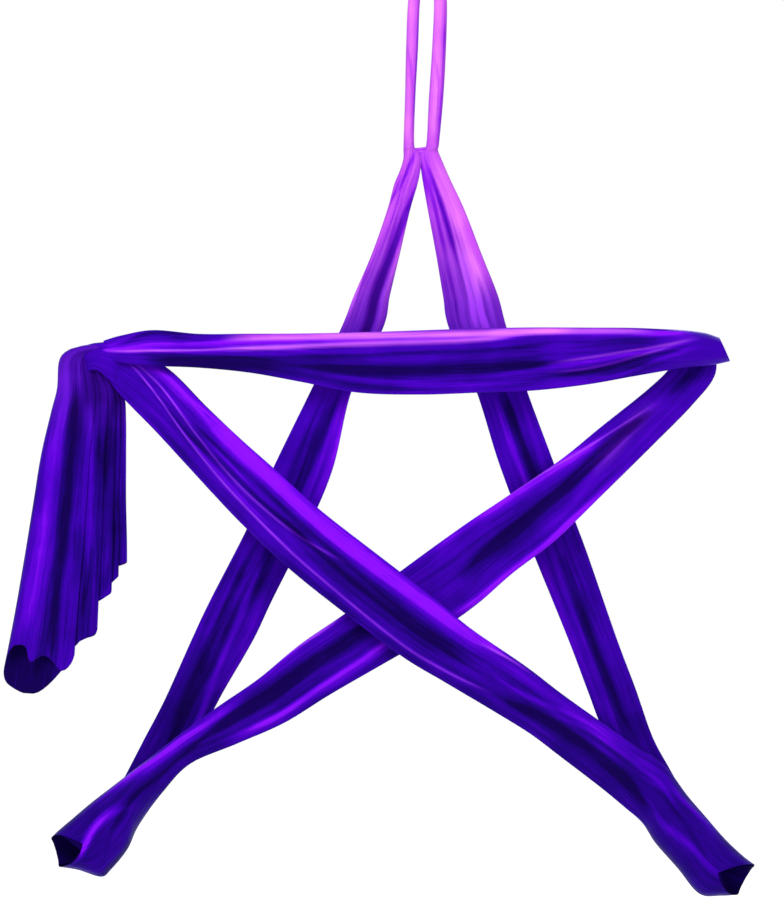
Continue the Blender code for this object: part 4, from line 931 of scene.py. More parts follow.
RIGHT_LIGHT_AND_SHADE = (
    (0.34, 24, 24, ((450, 246), (464, 276), (472, 310), (478, 338))),
    (0.35, 8, 14, ((436, 156), (452, 200), (466, 250), (484, 310), (492, 340))),
    (-0.3, 4, 4, ((428, 182), (440, 232), (452, 286), (462, 330))),
    (-0.22, 3, 4, ((440, 200), (452, 240), (466, 290), (476, 330))),
    (0.38, 10, 9, ((438, -20), (438, 20), (437, 60), (435, 100), (433, 140))),
    (-0.24, 2, 4, ((444, 20), (443, 60), (441, 100), (438.5, 135))),
    (-0.3, 5, 3, ((421, 158), (424, 172), (427, 190))),
    (-0.4, 14, 14, ((500, 395), (524, 450), (552, 520))),
    (-0.2, 13, 13, ((560, 570), (590, 640), (622, 720))),
    (0.3, 9, 8, ((540, 560), (572, 640), (600, 710))),
)
REAR_LIGHT_AND_SHADE = (
    (-0.4, 16, 16, ((704, 362), (692, 376), (676, 392))),
    (0.28, 9, 12, ((590, 444), (566, 460), (540, 478), (490, 508), (440, 548))),
    (-0.3, 10, 8, ((136, 824), (118, 852), (98, 872))),
    (0.3, 9, 9, ((640, 424), (620, 444), (596, 470), (578, 492))),
    (-0.55, 14, 16, ((644, 420), (596, 460), (556, 496), (510, 532), (470, 566))),
    (0.35, 8, 7, ((590, 506), (556, 536), (500, 582), (450, 618))),
    (0.3, 8, 8, ((392, 582), (340, 618), (290, 654), (240, 692))),
    (-0.5, 12, 12, ((400, 606), (350, 640), (300, 672), (250, 706), (216, 728))),
    (0.4, 8, 8, ((392, 638), (342, 676), (290, 710), (236, 738))),
    (0.55, 12, 8, ((236, 704), (196, 732), (156, 764), (120, 792))),
    (0.65, 6, 5, ((112, 816), (94, 834), (72, 856))),
)
FRONT_LIGHT_AND_SHADE = (
    (0.56, 14, 15, ((204, 414), (224, 434), (250, 458), (300, 503), (360, 552), (420, 598), (490, 647))),
    (0.25, 7, 6, ((160, 376), (180, 394), (200, 412))),
    (-0.40, 7, 7, ((160, 400), (186, 430), (215, 458), (250, 490), (300, 535))),
    (-0.45, 9, 9, ((290, 522), (350, 578), (410, 624), (460, 658))),
    (0.30, 2.5, 2.5, ((142, 376), (168, 410), (200, 450), (236, 490), (268, 522))),
    (0.25, 2.5, 2.5, ((156, 378), (176, 404), (206, 438), (240, 474), (280, 512))),
    (-0.15, 8, 8, ((150, 416), (210, 484), (260, 536), (320, 590), (390, 640))),
    (0.3, 10, 9, ((500, 660), (550, 694), (600, 728), (650, 768))),
    (-0.45, 9, 10, ((510, 700), (560, 728), (606, 762), (640, 798))),
)
BAND_LIGHT_AND_SHADE = (
    (0.40, 7, 9, ((110, 349), (150, 346), (200, 344), (300, 340), (420, 336), (520, 333))),
    (-0.40, 5, 5, ((134, 339), (148, 334), (166, 333), (186, 335))),
    (0.24, 1.8, 2, ((108, 347), (124, 342), (146, 338), (176, 337))),
    (-0.26, 1.8, 2, ((112, 350), (130, 346), (160, 342), (200, 341))),
    (-0.22, 2, 2.5, ((112, 354), (140, 354.5), (180, 355))),
    (-0.55, 12, 22, ((158, 363), (200, 363), (280, 367), (360, 370), (450, 368), (540, 362))),
    (0.55, 4, 7, ((500, 331), (560, 331), (610, 331), (650, 332.5), (684, 336))),
    (-0.25, 6, 8, ((570, 346), (620, 343), (660, 341))),
    (-0.35, 12, 14, ((540, 374), (600, 370), (660, 362))),
    (-0.25, 8, 6, ((330, 384), (400, 389), (470, 388), (530, 384))),
)
# Painted pink highlights of the light from above, in the same columns
BAND_PINK_HIGHLIGHTS = (
    (0.4, 1.6, 1.8, ((118, 351), (160, 350.5), (205, 350), (250, 348.5))),
    (0.5, 4, 4, ((240, 349), (300, 347), (360, 345), (430, 343), (500, 338))),
    (0.9, 6, 5, ((240, 338), (300, 337), (380, 336), (450, 335), (510, 333), (560, 331))),
    (0.45, 5, 5, ((540, 332), (590, 331), (640, 331))),
    (0.3, 2, 2, ((560, 362), (600, 356), (640, 349), (682, 343))),
    (0.25, 2, 2, ((560, 372), (590, 368), (620, 361), (660, 349))),
)
FRONT_PINK_HIGHLIGHTS = (
    (0.2, 1.8, 1.8, FRONT_PLEAT),
    (0.2, 1.8, 1.8, FRONT_CREST),
    (0.3, 2, 2, FRONT_NICK),
)
REAR_PINK_HIGHLIGHTS = (
    (0.16, 13, 13, ((646, 412), (620, 440), (598, 464))),
    (0.2, 1.8, 1.8, ((640, 414), (620, 427), (571, 457), (510, 494))),
    (0.2, 1.8, 1.8, REAR_PLEAT),
)
RIGHT_PINK_HIGHLIGHTS = (
    (0.5, 14, 16, ((446, 170), (462, 215), (474, 250), (482, 285))),
)

# The gather, the hanging end and its hem
GRIP_CLOTH_PX = (
    (124, 343, 117, 388, -0.05, -0.01),
    (112, 341, 108, 380, -0.07, -0.05),
    (101, 342, 99, 372, -0.03),
    (92, 343, 92, 370, 0.0),
    (81, 346, 87, 372, 0.03),
)
TAIL_CLOTH_PX = (
    (99, 344, 97, 366, 0.02),
    (84, 345, 95, 369, 0.04),
    (67, 350, 105, 371, 0.08, 0.06),
    (58, 361, 116, 383, 0.12, 0.08),
    (56, 388, 123.5, 397, 0.16, 0.10),
    (50, 412, 125, 420, 0.16, 0.12),
    (40, 455, 125, 455, 0.15),
    (32, 505, 125, 500, 0.12),
    (22.8, 562, 126, 545, 0.09),
    (11.8, 625, 126, 590, 0.06),
    (-4.4, 706, 126, 706, 0.02),
)
# From selvedge to selvedge: share across, mm forward and the hem's height in pixels
TAIL_PLAN = (
    (0.47, -9, 672), (0.42, -11, 680), (0.36, -12, 688), (0.29, -13, 694), (0.20, -14, 694.5),
    (0.10, -13, 689), (0.03, -9, 682), (0.00, -3, 671), (0.01, 6, 655),
    (0.05, 13, 646), (0.12, 17, 645), (0.165, 18, 649), (0.195, 18, 659), (0.225, 16, 662.5),
    (0.26, 11, 659), (0.32, 1, 656), (0.40, -5, 663), (0.46, -3, 671.5), (0.51, 1, 670), (0.55, 1, 664),
    (0.57, -2, 656), (0.565, -5, 655), (0.50, -9, 654), (0.34, -12, 652), (0.27, -15, 650),
    (0.38, -16, 649), (0.54, -9, 648), (0.58, -5, 646), (0.61, -3, 642), (0.67, -2, 638.5),
    (0.73, -3, 636), (0.75, -6, 630), (0.74, -9, 628), (0.64, -14, 622), (0.58, -17, 612),
    (0.63, -18, 606), (0.72, -12, 603), (0.766, -8, 601), (0.82, -5, 597), (0.856, -6, 594),
    (0.862, -9, 590), (0.85, -12, 590), (0.74, -17, 589), (0.68, -20, 588), (0.75, -21, 587),
    (0.84, -15, 586), (0.875, -10, 582), (0.905, -8, 579), (0.92, -11, 576), (0.88, -17, 574),
    (0.80, -21, 572), (0.84, -23, 570), (0.91, -16, 568), (0.93, -12, 565.5), (0.965, -9, 564),
    (0.99, -10, 562.5), (1.0, -14, 562), (0.94, -22, 566), (0.60, -28, 575), (0.20, -22, 590),
    (0.08, -23, 600), (0.18, -27, 590), (0.55, -31, 580), (0.90, -27, 566), (0.95, -29, 564),
    (0.80, -33, 566), (0.22, -30, 588),
)
TAIL_FOLDS = (
    (1.6, 6, 8, ((110, 470), (108, 520), (106, 570))),
    (1.6, 3, 3, ((68, 380), (64, 420), (58, 480), (50, 560), (40, 620))),
    (-2.0, 3, 3, ((74, 372), (73, 410), (70, 470), (64, 540), (56, 620))),
    (2.0, 3, 4, ((86, 380), (90, 430), (90, 490), (88, 560))),
    (-1.6, 3, 3, ((96, 384), (98, 440), (98, 520), (96, 590))),
    (1.4, 3, 3, ((116, 400), (118, 460), (119, 540))),
)
# Painted highlights and painted shade on the hanging end, in the same columns
TAIL_LIGHT_AND_SHADE = (
    (0.32, 14, 12, ((63, 366), (59, 420), (46, 500), (36, 570), (24, 630))),
    (-0.6, 9, 11, ((76, 400), (72, 430), (66, 500), (58, 560), (55, 600), (50, 655))),
    (0.16, 8, 7, ((84, 400), (88, 430), (88, 470), (86, 520), (78, 600))),
    (-0.34, 14, 24, ((102, 372), (107, 430), (108, 500), (106, 580))),
    (-0.18, 34, 44, ((92, 430), (92, 500), (86, 580), (76, 650))),
    (-0.14, 8, 4, ((119, 400), (120, 470), (121, 540))),
    (-0.30, 10, 9, ((84, 560), (84, 600), (83, 630))),
    (-0.30, 16, 18, ((92, 366), (92, 384), (92, 410))),
)


def lie_on_star(table):
    """The stretch between two edges, from a table of their pixels and depth shares."""
    return Stretch([on_star(x, y, depths[0]) + on_star(far_x, far_y, depths[-1])
                    for x, y, far_x, far_y, *depths in table])


def hang(sheet, tricot, length, held, *nodes):
    """Finishes one stretch of the silks: its cloth, its body, the solids it stands for."""
    sheet.data.materials.append(tricot)
    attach(sheet, "silks")
    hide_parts(*nodes)


def make_stretches(tricot):
    """The five stretches of the star."""
    jobs = (
        ("left_cloth", LEFT_CLOTH_PX, LEFT_FOLDS, LEFT_LIGHT_AND_SHADE, LEFT_PINK_HIGHLIGHTS, None,
         ("upper_strand_left", "left_drop")),
        ("right_cloth", RIGHT_CLOTH_PX, RIGHT_FOLDS, RIGHT_LIGHT_AND_SHADE, RIGHT_PINK_HIGHLIGHTS, None,
         ("upper_strand_right", "right_drop")),
        ("rear_cloth", REAR_CLOTH_PX, REAR_FOLDS, REAR_LIGHT_AND_SHADE, REAR_PINK_HIGHLIGHTS, LEFT_FOOT_SLEEVE,
         ("rear_diagonal", "left_foot_loop")),
        ("front_cloth", FRONT_CLOTH_PX, FRONT_FOLDS, FRONT_LIGHT_AND_SHADE, FRONT_PINK_HIGHLIGHTS, RIGHT_FOOT_SLEEVE,
         ("front_diagonal", "right_foot_loop")),
        ("band_cloth", BAND_CLOTH_PX, BAND_FOLDS, BAND_LIGHT_AND_SHADE, BAND_PINK_HIGHLIGHTS, WRIST_SLEEVE,
         ("cross_band", "wrist_loop")),
    )
    for i, (name, table, marks, light_and_shade_marks, pink_highlights, sleeve, nodes) in enumerate(jobs):
        lie = lie_on_star(table)
        sheet = fold_stretch(name, lie, SEED + i, marks, light_and_shade_marks, pink_highlights, sleeve, from_hitch=sleeve is None)
        hang(sheet, tricot, lie.length, "stretched", *nodes)


def make_knot(tricot):
    """The half knot: the cloth taken once round both strands, aslant."""
    x, _, z = on_star(*KNOT_PX, 0.0)
    rows = []
    for i in range(KNOT_STEPS + 1):
        angle = radians(KNOT_START + (KNOT_END - KNOT_START) * i / KNOT_STEPS)
        out = Vector((sin(angle), -cos(angle), 0.0))
        deep = KNOT_BACK_DEEP if out.y > 0 else KNOT_FRONT_DEEP
        place = Vector((x + KNOT_HALF_WIDE * out.x, STAR_BACK + deep * out.y,
                        z + KNOT_TILT * KNOT_HALF_WIDE * out.x))
        half = Vector((0, 0, KNOT_HALF_HIGH + KNOT_FLARE * abs(out.x) ** 3))
        facing = Vector((out.x / KNOT_HALF_WIDE, out.y / deep, 0.0)).normalized()
        rows.append((*(place + half), *(place - half), *facing))
    lie = Stretch(rows)
    sheet = fold_stretch("knot_cloth", lie, SEED + 5, stack=KNOT_LAYERS, fine=1.5, tone=0.45,
                         bundle=(KNOT_HALF_THICK, KNOT_HALF_THICK), from_hitch=True)
    hang(sheet, tricot, lie.length, "gathered", "crossing_knot")


def make_hitch(tricot):
    """The hitch round the eight: up in front, back through the big ring and round its neck.

    Each place of its half way has half its width and the way that the cloth's inner side faces. The
    shares draw the leg in where the ring and the neck squeeze it.
    """
    front = EIGHT_THICK_HALF + LEG_THICK_HALF
    neck_side = EIGHT_NECK_HALF + LEG_THICK_HALF
    leg_foot = EIGHT_BAR_Z - BIG_RING_HALF - LEG_BELOW_EIGHT
    through_z = EIGHT_BAR_Z + BIG_RING_HALF + LEG_THICK_HALF * 1.5
    ring_top = BIG_RING_Z + BIG_RING_R
    flat, upright = Vector((LEG_HALF, 0, 0)), Vector((0, 0, LEG_HALF))
    half_way = (
        ((-LEG_X, -front, leg_foot), flat, (0, -1, 0)),
        ((-LEG_X, -front, EIGHT_BAR_Z), flat, (0, -1, 0.1)),
        ((-LEG_X * 0.9, -front / 2, through_z - LEG_THICK_HALF / 2), flat * 0.95, (0, -0.4, 1)),
        ((-LEG_X * 0.86, front / 2, through_z + LEG_THICK_HALF / 2), flat * 0.95, (0, -0.2, 1)),
        ((-LEG_X * 0.86, front, BIG_RING_Z), flat, (0, -1, -0.1)),
        ((-LEG_X * 0.92, front, ring_top - BIG_RING_HALF), flat * 0.9 + upright * 0.1, (0, -1, 0)),
        ((-neck_side * 1.04, front * 0.85, ring_top + BIG_RING_HALF), (flat + upright) * 0.45,
         (0.5, -0.8, 0)),
        ((-neck_side * 1.02, 0, NECK_Z), upright * 0.8, (1, 0, 0)),
        ((-neck_side * 0.72, -front * 0.86, NECK_Z), upright * 0.8, (0.6, 0.8, 0)),
        ((0, -front * 1.05, NECK_Z), upright * 0.84, (0, 1, 0)),
    )
    rows = [(Vector(centre), half, -Vector(inward).normalized()) for centre, half, inward in half_way]
    flip = Vector((-1, 1, 1))
    rows += [(centre * flip, half * flip, out * flip) for centre, half, out in rows[-2::-1]]
    lie = Stretch([(*(centre - half), *(centre + half), *out) for centre, half, out in rows])
    sheet = fold_stretch("hitch_cloth", lie, SEED + 6, stack=HITCH_LAYERS, fine=0.9,
                         bundle=(LEG_THICK_HALF, LEG_THICK_HALF), from_hitch=True)
    hang(sheet, tricot, lie.length, "gathered", "neck_hitch")


def make_grip(tricot):
    """The gather, where band, diagonal and hanging end are drawn in to one round bundle."""
    lie = lie_on_star(GRIP_CLOTH_PX)
    sheet = fold_stretch("grip_cloth", lie, SEED + 7, stack=GRIP_LAYERS, fine=1.6,
                         bundle=(GRIP_HALF_THICK, GRIP_END_THICK))
    hang(sheet, tricot, lie.length, "gathered", "grip_gather")


def make_tail(tricot):
    """The hanging end: one width of cloth that fans out of the gather in upright folds."""
    lie = lie_on_star(TAIL_CLOTH_PX)
    plan = np.array(TAIL_PLAN, float)
    plan[:, 1] *= MM / PLAN_DEPTH_UNIT
    plan, _ = smooth_line(plan, TAIL_COLUMNS)
    across, forward, hem_px = plan[:, 0], plan[:, 1] * PLAN_DEPTH_UNIT, plan[:, 2]

    fine = np.linspace(0, 1, TABLE_STEPS)
    one, other = lie.edges(fine)
    ends = []
    for s, hem in zip(across, hem_px):
        level = one[:, 2] * (1 - s) + other[:, 2] * s
        ends.append(np.interp(VIEW_TOP_Z - hem * PIXEL, level[::-1], fine[::-1]))
    q = np.linspace(0, 1, TAIL_ROWS)[:, None] * np.array(ends)[None]
    s = np.broadcast_to(across, q.shape)
    rng = np.random.default_rng(SEED + 8)
    gathered = 1 - smooth_step(*FAN_SPAN, q)
    relief = drawn_folds(lie, TAIL_FOLDS, s, q) * (1 - gathered)
    relief = relief + tension_folds(lie, s, q, rng) * (TAIL_FINE + GATHER_FINE * gathered)
    depth = 1 + TAIL_SWING * smooth_step(*SWING_SPAN, q)
    points = lie.middle_places(q, s)
    points[..., 1] -= forward * depth * (1 - GATHER_DRAWN_IN * gathered) + relief + TAIL_FORWARD
    # Painted shade in the hollows, where the cloth lies deep behind the front-most layer beside it
    beside = np.abs(across[:, None] - across[None]) < TAIL_COVER_REACH
    cover = np.max(np.where(beside, forward[None], forward[:, None]), axis=1) - forward
    hollow_shade = smooth_step(*TAIL_COVER_DEPTHS, cover) * smooth_step(*HOLLOW_SHADE_SPAN, q)
    # Painted shade in the valleys and painted highlight on the ridges, with marks of painted light and
    # shade
    fold_shading = TAIL_TONE + relief / FULL_FOLD * TAIL_CONTRAST + drawn_folds(lie, TAIL_LIGHT_AND_SHADE, s, q) / MM
    # Painted pink light from above, near the gather
    tail_pink_light = TAIL_PINK_LIGHT * (1 - smooth_step(*PINK_LIGHT_SPAN, q))
    sheet = cloth_grid("tail_cloth", points, fold_shading - TAIL_HOLLOW_SHADE * hollow_shade, tail_pink_light)
    wall = sheet.modifiers.new("cloth", 'SOLIDIFY')
    wall.thickness = TAIL_CLOTH_THICK
    hang(sheet, tricot, lie.length * float(np.mean(ends)), "hung", "hanging_tail")


# Rigging


def verts_of(geom):
    """The vertices among what a bmesh operator gives back."""
    return [item for item in geom if isinstance(item, bmesh.types.BMVert)]


def lay(centre, heading, normal, half_deep, half_wide=None):
    """The matrix that lays a unit circle across a heading, half_deep along the normal."""
    heading, normal = Vector(heading).normalized(), Vector(normal).normalized()
    side = heading.cross(normal) * (half_wide or half_deep)
    return Matrix.Translation(centre) @ Matrix((normal * half_deep, side, heading)).transposed().to_4x4()


def ring_edges(circle):
    """The edges of a new circle, in its order."""
    return list(dict.fromkeys(edge for vert in circle["verts"] for edge in vert.link_edges))


def loft(shape, places, around=28, closed=False):
    """A skin through unit circles laid at places, capped at both ends or closed to a ring."""
    edges = ring_edges(bmesh.ops.create_circle(shape, cap_ends=not closed, segments=around, radius=1.0,
                                               matrix=places[0]))
    for before, after in zip(places, places[1:]):
        grown = bmesh.ops.extrude_edge_only(shape, edges=edges)["geom"]
        verts = set(verts_of(grown))
        edges = [item for item in grown
                 if isinstance(item, bmesh.types.BMEdge) and verts.issuperset(item.verts)]
        bmesh.ops.transform(shape, matrix=after @ before.inverted(), verts=list(verts))
    if closed:
        bmesh.ops.remove_doubles(shape, verts=shape.verts, dist=MERGE)
    else:
        bmesh.ops.contextual_create(shape, geom=edges)


def lathe(shape, profile, centre=(0, 0), steps=72):
    """A profile of (radius, height) turned about an upright axis at centre (x, y)."""
    x, y = centre
    verts = [bmesh.ops.create_vert(shape, co=(x + radius, y, z))["vert"][0] for radius, z in profile]
    edges = [bmesh.ops.contextual_create(shape, geom=pair)["edges"][0] for pair in zip(verts, verts[1:])]
    bmesh.ops.spin(shape, geom=verts + edges, cent=(x, y, 0), axis=(0, 0, 1), angle=2 * pi, steps=steps,
                   use_merge=True)
    bmesh.ops.remove_doubles(shape, verts=shape.verts, dist=MERGE)


def rounded(profile, reach, steps=4):
    """A profile with its inner corners rounded off within reach of each."""
    points = [Vector(point) for point in profile]
    out = [points[0]]
    for before, corner, after in zip(points, points[1:], points[2:]):
        one, two = [(end - corner).normalized() * min(reach, (end - corner).length * 0.45)
                    for end in (before, after)]
        for i in range(steps + 1):
            t = i / steps
            out.append(corner + one * (1 - t) ** 2 + two * t ** 2)
    return [tuple(point) for point in out] + [tuple(points[-1])]


def soften(shape, reach, sharp=radians(50)):
    """Rounds the sharp edges of a shape."""
    edges = [edge for edge in shape.edges
             if len(edge.link_faces) == 2 and edge.calc_face_angle(0) > sharp]
    bmesh.ops.bevel(shape, geom=edges, offset=reach, offset_type='OFFSET', segments=3, profile=0.5,
                    affect='EDGES', clamp_overlap=True, material=-1)


def block(shape, low, high):
    """A block between two corners."""
    low, high = Vector(low), Vector(high)
    matrix = Matrix.Translation((low + high) / 2) @ Matrix.Diagonal((*(high - low), 1))
    bmesh.ops.create_cube(shape, size=1.0, matrix=matrix)


def peg(shape, radius, length, centre, lying=False):
    """A round bar by its middle, upright or lying along x."""
    turn = Matrix.Rotation(pi / 2, 4, 'Y') if lying else Matrix.Identity(4)
    bmesh.ops.create_cone(shape, cap_ends=True, segments=32, radius1=radius, radius2=radius, depth=length,
                          matrix=Matrix.Translation(centre) @ turn)


def bend(centre, radius, start, end, steps, plane):
    """(place, heading) pairs on an arc in plane 'XZ' or 'YZ', between two angles in degrees."""
    pairs = []
    turn = 1 if end > start else -1
    for i in range(steps + 1):
        angle = radians(start + (end - start) * i / steps)
        out, along = Vector((cos(angle), sin(angle))), Vector((-sin(angle), cos(angle))) * turn
        spot = Vector(centre) + out * radius
        if plane == 'XZ':
            pairs.append((Vector((spot.x, 0, spot.y)), Vector((along.x, 0, along.y))))
        else:
            pairs.append((Vector((0, spot.x, spot.y)), Vector((0, along.x, along.y))))
    return pairs


def finish_hard(name, shape, material, body, node):
    """Makes the piece of a shape, in place of a CAD node on a body."""
    bmesh.ops.recalc_face_normals(shape, faces=shape.faces)
    mesh = mesh_of(name, shape)
    mesh.shade_smooth()
    mesh.set_sharp_from_angle(angle=radians(40))
    mesh.materials.append(material)
    thing = put(name, mesh)
    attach(thing, body)
    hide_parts(node)
    return thing


def add_bail(shape, bar_z, root_z, radius=BAIL_R, bar_r=BAIL_BAR_R):
    """A U bar in the XZ plane, from its bend at bar_z to roots sunk at root_z."""
    toward = 1 if root_z > bar_z else -1
    path = bend((0, bar_z + toward * radius), radius, 180, 180 + toward * 180, 24, 'XZ')
    foot = root_z + toward * ROOT_SINK
    path = [(Vector((-radius, 0, foot)), path[0][1]), *path, (Vector((radius, 0, foot)), path[-1][1])]
    loft(shape, [lay(place, heading, (0, 1, 0), bar_r) for place, heading in path])


def add_weld(shape, x):
    """A rippled weld bead round a root of the plate's bail."""
    bead = bmesh.new()
    out, down = WELD_BELLY_SHARES
    profile = ((CEILING_BAR_R - WELD_BITE, -PLATE_THICK - WELD_LEG),
               (CEILING_BAR_R + WELD_LEG * out, -PLATE_THICK - WELD_LEG * down),
               (CEILING_BAR_R + WELD_LEG, -PLATE_THICK + WELD_BITE))
    lathe(bead, rounded(profile, WELD_LEG / 2), (x, 0), 96)
    for vert in bead.verts:
        angle = np.arctan2(vert.co.y, vert.co.x - x)
        ripple = 1 + WELD_RIPPLE_SHARE * abs(sin(WELD_RIPPLES * angle))
        ripple -= WELD_LOBE_SHARE * sin(WELD_LOBES * angle)
        vert.co.x, vert.co.y = x + (vert.co.x - x) * ripple, vert.co.y * ripple
    scratch = mesh_of("bead", bead)
    shape.from_mesh(scratch)
    bpy.data.meshes.remove(scratch)


def make_plate(steel):
    """The drilled ceiling plate with its welded bar."""
    shape = bmesh.new()
    bmesh.ops.create_grid(shape, x_segments=1, y_segments=1, size=PLATE_SIDE / 2)
    bmesh.ops.bevel(shape, geom=shape.verts[:], offset=PLATE_CORNER_R, offset_type='OFFSET', segments=9,
                    profile=0.5, affect='VERTICES', material=-1)
    bmesh.ops.delete(shape, geom=shape.faces[:], context='FACES_ONLY')
    reach = PLATE_SIDE / 2 - PLATE_HOLE_INSET
    for x in (-reach, reach):
        for y in (-reach, reach):
            bmesh.ops.create_circle(shape, segments=32, radius=PLATE_HOLE_R,
                                    matrix=Matrix.Translation((x, y, 0)))
    bmesh.ops.triangle_fill(shape, edges=shape.edges[:], use_beauty=True, use_dissolve=False,
                            normal=(0, 0, 1))
    grown = bmesh.ops.extrude_face_region(shape, geom=shape.faces[:], use_keep_orig=True)["geom"]
    bmesh.ops.translate(shape, verts=verts_of(grown), vec=(0, 0, -PLATE_THICK))
    soften(shape, PLATE_EDGE_R)
    bar_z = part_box("ceiling_plate")[0][2] + CEILING_BAR_R
    add_bail(shape, bar_z, -PLATE_THICK, CEILING_BAIL_R, CEILING_BAR_R)
    for x in (-CEILING_BAIL_R, CEILING_BAIL_R):
        add_weld(shape, x)
    finish_hard("plate_and_bail", shape, steel, "ceiling_mount", "ceiling_plate")


def make_carabiner_frame(label, steel):
    """A round bar bent to an oval, with the hinge tongue and the hook of the nose."""
    low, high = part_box(label + "_carabiner_frame")
    z = (low[2] + high[2]) / 2
    straight = (high[2] - low[2]) / 2 - CARABINER_BAR_R - CARABINER_BEND_R
    pin_z, nose_z = z + GATE_PIN_Z, z + GATE_NOSE_Z
    foot_z = pin_z - GATE_R - SEAM_GAP
    up = Vector((0, 0, 1))
    shape = bmesh.new()
    path = [(Vector((0, GATE_Y, nose_z)), up)]
    path += bend((0, z + straight), CARABINER_BEND_R, 180, 0, 28, 'YZ')
    path += bend((0, z - straight), CARABINER_BEND_R, 0, -180, 28, 'YZ')
    path += [(Vector((0, GATE_Y, foot_z)), up)]
    loft(shape, [lay(place, heading, (1, 0, 0), CARABINER_BAR_R) for place, heading in path], 32)
    lug, reach = NOSE_LUG_THICK / 2, NOSE_LUG_WIDE / 2
    block(shape, (-lug, GATE_Y - reach, nose_z - NOSE_LUG_DROP), (lug, GATE_Y + reach, nose_z + MM))
    half = TONGUE_THICK / 2
    block(shape, (-half, GATE_Y - TONGUE_R, foot_z - MM),
          (half, GATE_Y + TONGUE_R, pin_z - TONGUE_BORE_R))
    soften(shape, FORGED_EDGE_R)
    across = Matrix.Translation((-half, GATE_Y, pin_z)) @ Matrix.Rotation(pi / 2, 4, 'Y')
    rims = []
    for radius in (TONGUE_R, TONGUE_BORE_R):
        rims += ring_edges(bmesh.ops.create_circle(shape, segments=40, radius=radius, matrix=across))
    eye = bmesh.ops.bridge_loops(shape, edges=rims)["faces"]
    grown = bmesh.ops.extrude_face_region(shape, geom=eye, use_keep_orig=True)["geom"]
    bmesh.ops.translate(shape, verts=verts_of(grown), vec=(TONGUE_THICK, 0, 0))
    finish_hard(label + "_frame_bent", shape, steel, label + "_carabiner", label + "_carabiner_frame")


def carved(shape, *tools):
    """A shape with other shapes cut away from it."""
    things = []
    for part in (shape, *tools):
        bmesh.ops.recalc_face_normals(part, faces=part.faces)
        things.append(put("carving", mesh_of("carving", part)))
    for tool in things[1:]:
        cut = things[0].modifiers.new("cut", 'BOOLEAN')
        cut.operation = 'DIFFERENCE'
        cut.object = tool
    done = bmesh.new()
    done.from_object(things[0], bpy.context.evaluated_depsgraph_get())
    for thing in things:
        bpy.data.objects.remove(thing)
    return done


def make_gate(label, steel):
    """The gate: a round bar with a domed foot, slotted for tongue and nose, bored for pin and spring."""
    low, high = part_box(label + "_carabiner_frame")
    pin_z = (low[2] + high[2]) / 2 + GATE_PIN_Z
    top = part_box(label + "_gate")[1][2]
    bore_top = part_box(label + "_gate_spring")[1][2] + SEAM_GAP
    reach = GATE_R + MM
    dome = [(GATE_R * cos(radians(turn)), pin_z + GATE_R * sin(radians(turn))) for turn in range(-81, 1, 9)]
    bar, fork, nose, pin_bore, spring_bore = [bmesh.new() for _ in range(5)]
    lathe(bar, [(0, pin_z - GATE_R), *dome, (GATE_R, top - GATE_RIM), (GATE_R - GATE_RIM, top), (0, top)],
          (0, GATE_Y), 64)
    slot = TONGUE_THICK / 2 + SIDE_PLAY
    block(fork, (-slot, GATE_Y - reach, pin_z - reach),
          (slot, GATE_Y + reach, pin_z + TONGUE_R + SEAM_GAP))
    slot = NOSE_LUG_THICK / 2 + SIDE_PLAY
    block(nose, (-slot, GATE_Y - reach, top - GATE_SLOT_DEPTH), (slot, GATE_Y + reach, top + MM))
    peg(pin_bore, TONGUE_BORE_R, 2 * reach, (0, GATE_Y, pin_z), lying=True)
    peg(spring_bore, GATE_BORE_R, bore_top - pin_z, (0, GATE_Y, (bore_top + pin_z) / 2))
    shape = carved(bar, fork, nose, pin_bore, spring_bore)
    finish_hard(label + "_gate_turned", shape, steel, label + "_gate_arm", label + "_gate")


def make_sleeve(label, dark):
    """The screw sleeve: fluted for the fingers, with a turned collar at each end."""
    low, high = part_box(label + "_screw_sleeve")
    foot, top = low[2], high[2]
    waist_foot, waist_top = foot + SLEEVE_COLLAR, top - SLEEVE_COLLAR
    outer, inner = SLEEVE_OUTER_R, SLEEVE_OUTER_R - SLEEVE_DIP
    waist = [(outer, waist_foot + (waist_top - waist_foot) * i / 12) for i in range(13)]
    profile = [(SLEEVE_BORE_R, foot), (outer - SLEEVE_RIM, foot), (outer, foot + SLEEVE_RIM),
               (outer, waist_foot - 2 * SLEEVE_DIP), (inner, waist_foot - SLEEVE_DIP), *waist,
               (inner, waist_top + SLEEVE_DIP), (outer, waist_top + 2 * SLEEVE_DIP),
               (outer, top - SLEEVE_RIM), (outer - SLEEVE_RIM, top), (SLEEVE_BORE_R, top),
               (SLEEVE_BORE_R, foot)]
    shape = bmesh.new()
    lathe(shape, profile, (0, GATE_Y), 12 * SLEEVE_FLUTES)
    for vert in shape.verts:
        across = Vector((vert.co.x, vert.co.y - GATE_Y))
        if across.length > outer - SLEEVE_DIP / 2 and waist_foot <= vert.co.z <= waist_top:
            share = (vert.co.z - waist_foot) / (waist_top - waist_foot)
            angle = np.arctan2(across.y, across.x)
            scoop = (0.5 - 0.5 * cos(SLEEVE_FLUTES * angle)) ** FLUTE_POWER
            cut = SLEEVE_FLUTE * scoop * min(1, 4 * sin(pi * share))
            across *= (outer - cut) / across.length
            vert.co.x, vert.co.y = across.x, GATE_Y + across.y
    finish_hard(label + "_sleeve_fluted", shape, dark, label + "_lock", label + "_screw_sleeve")


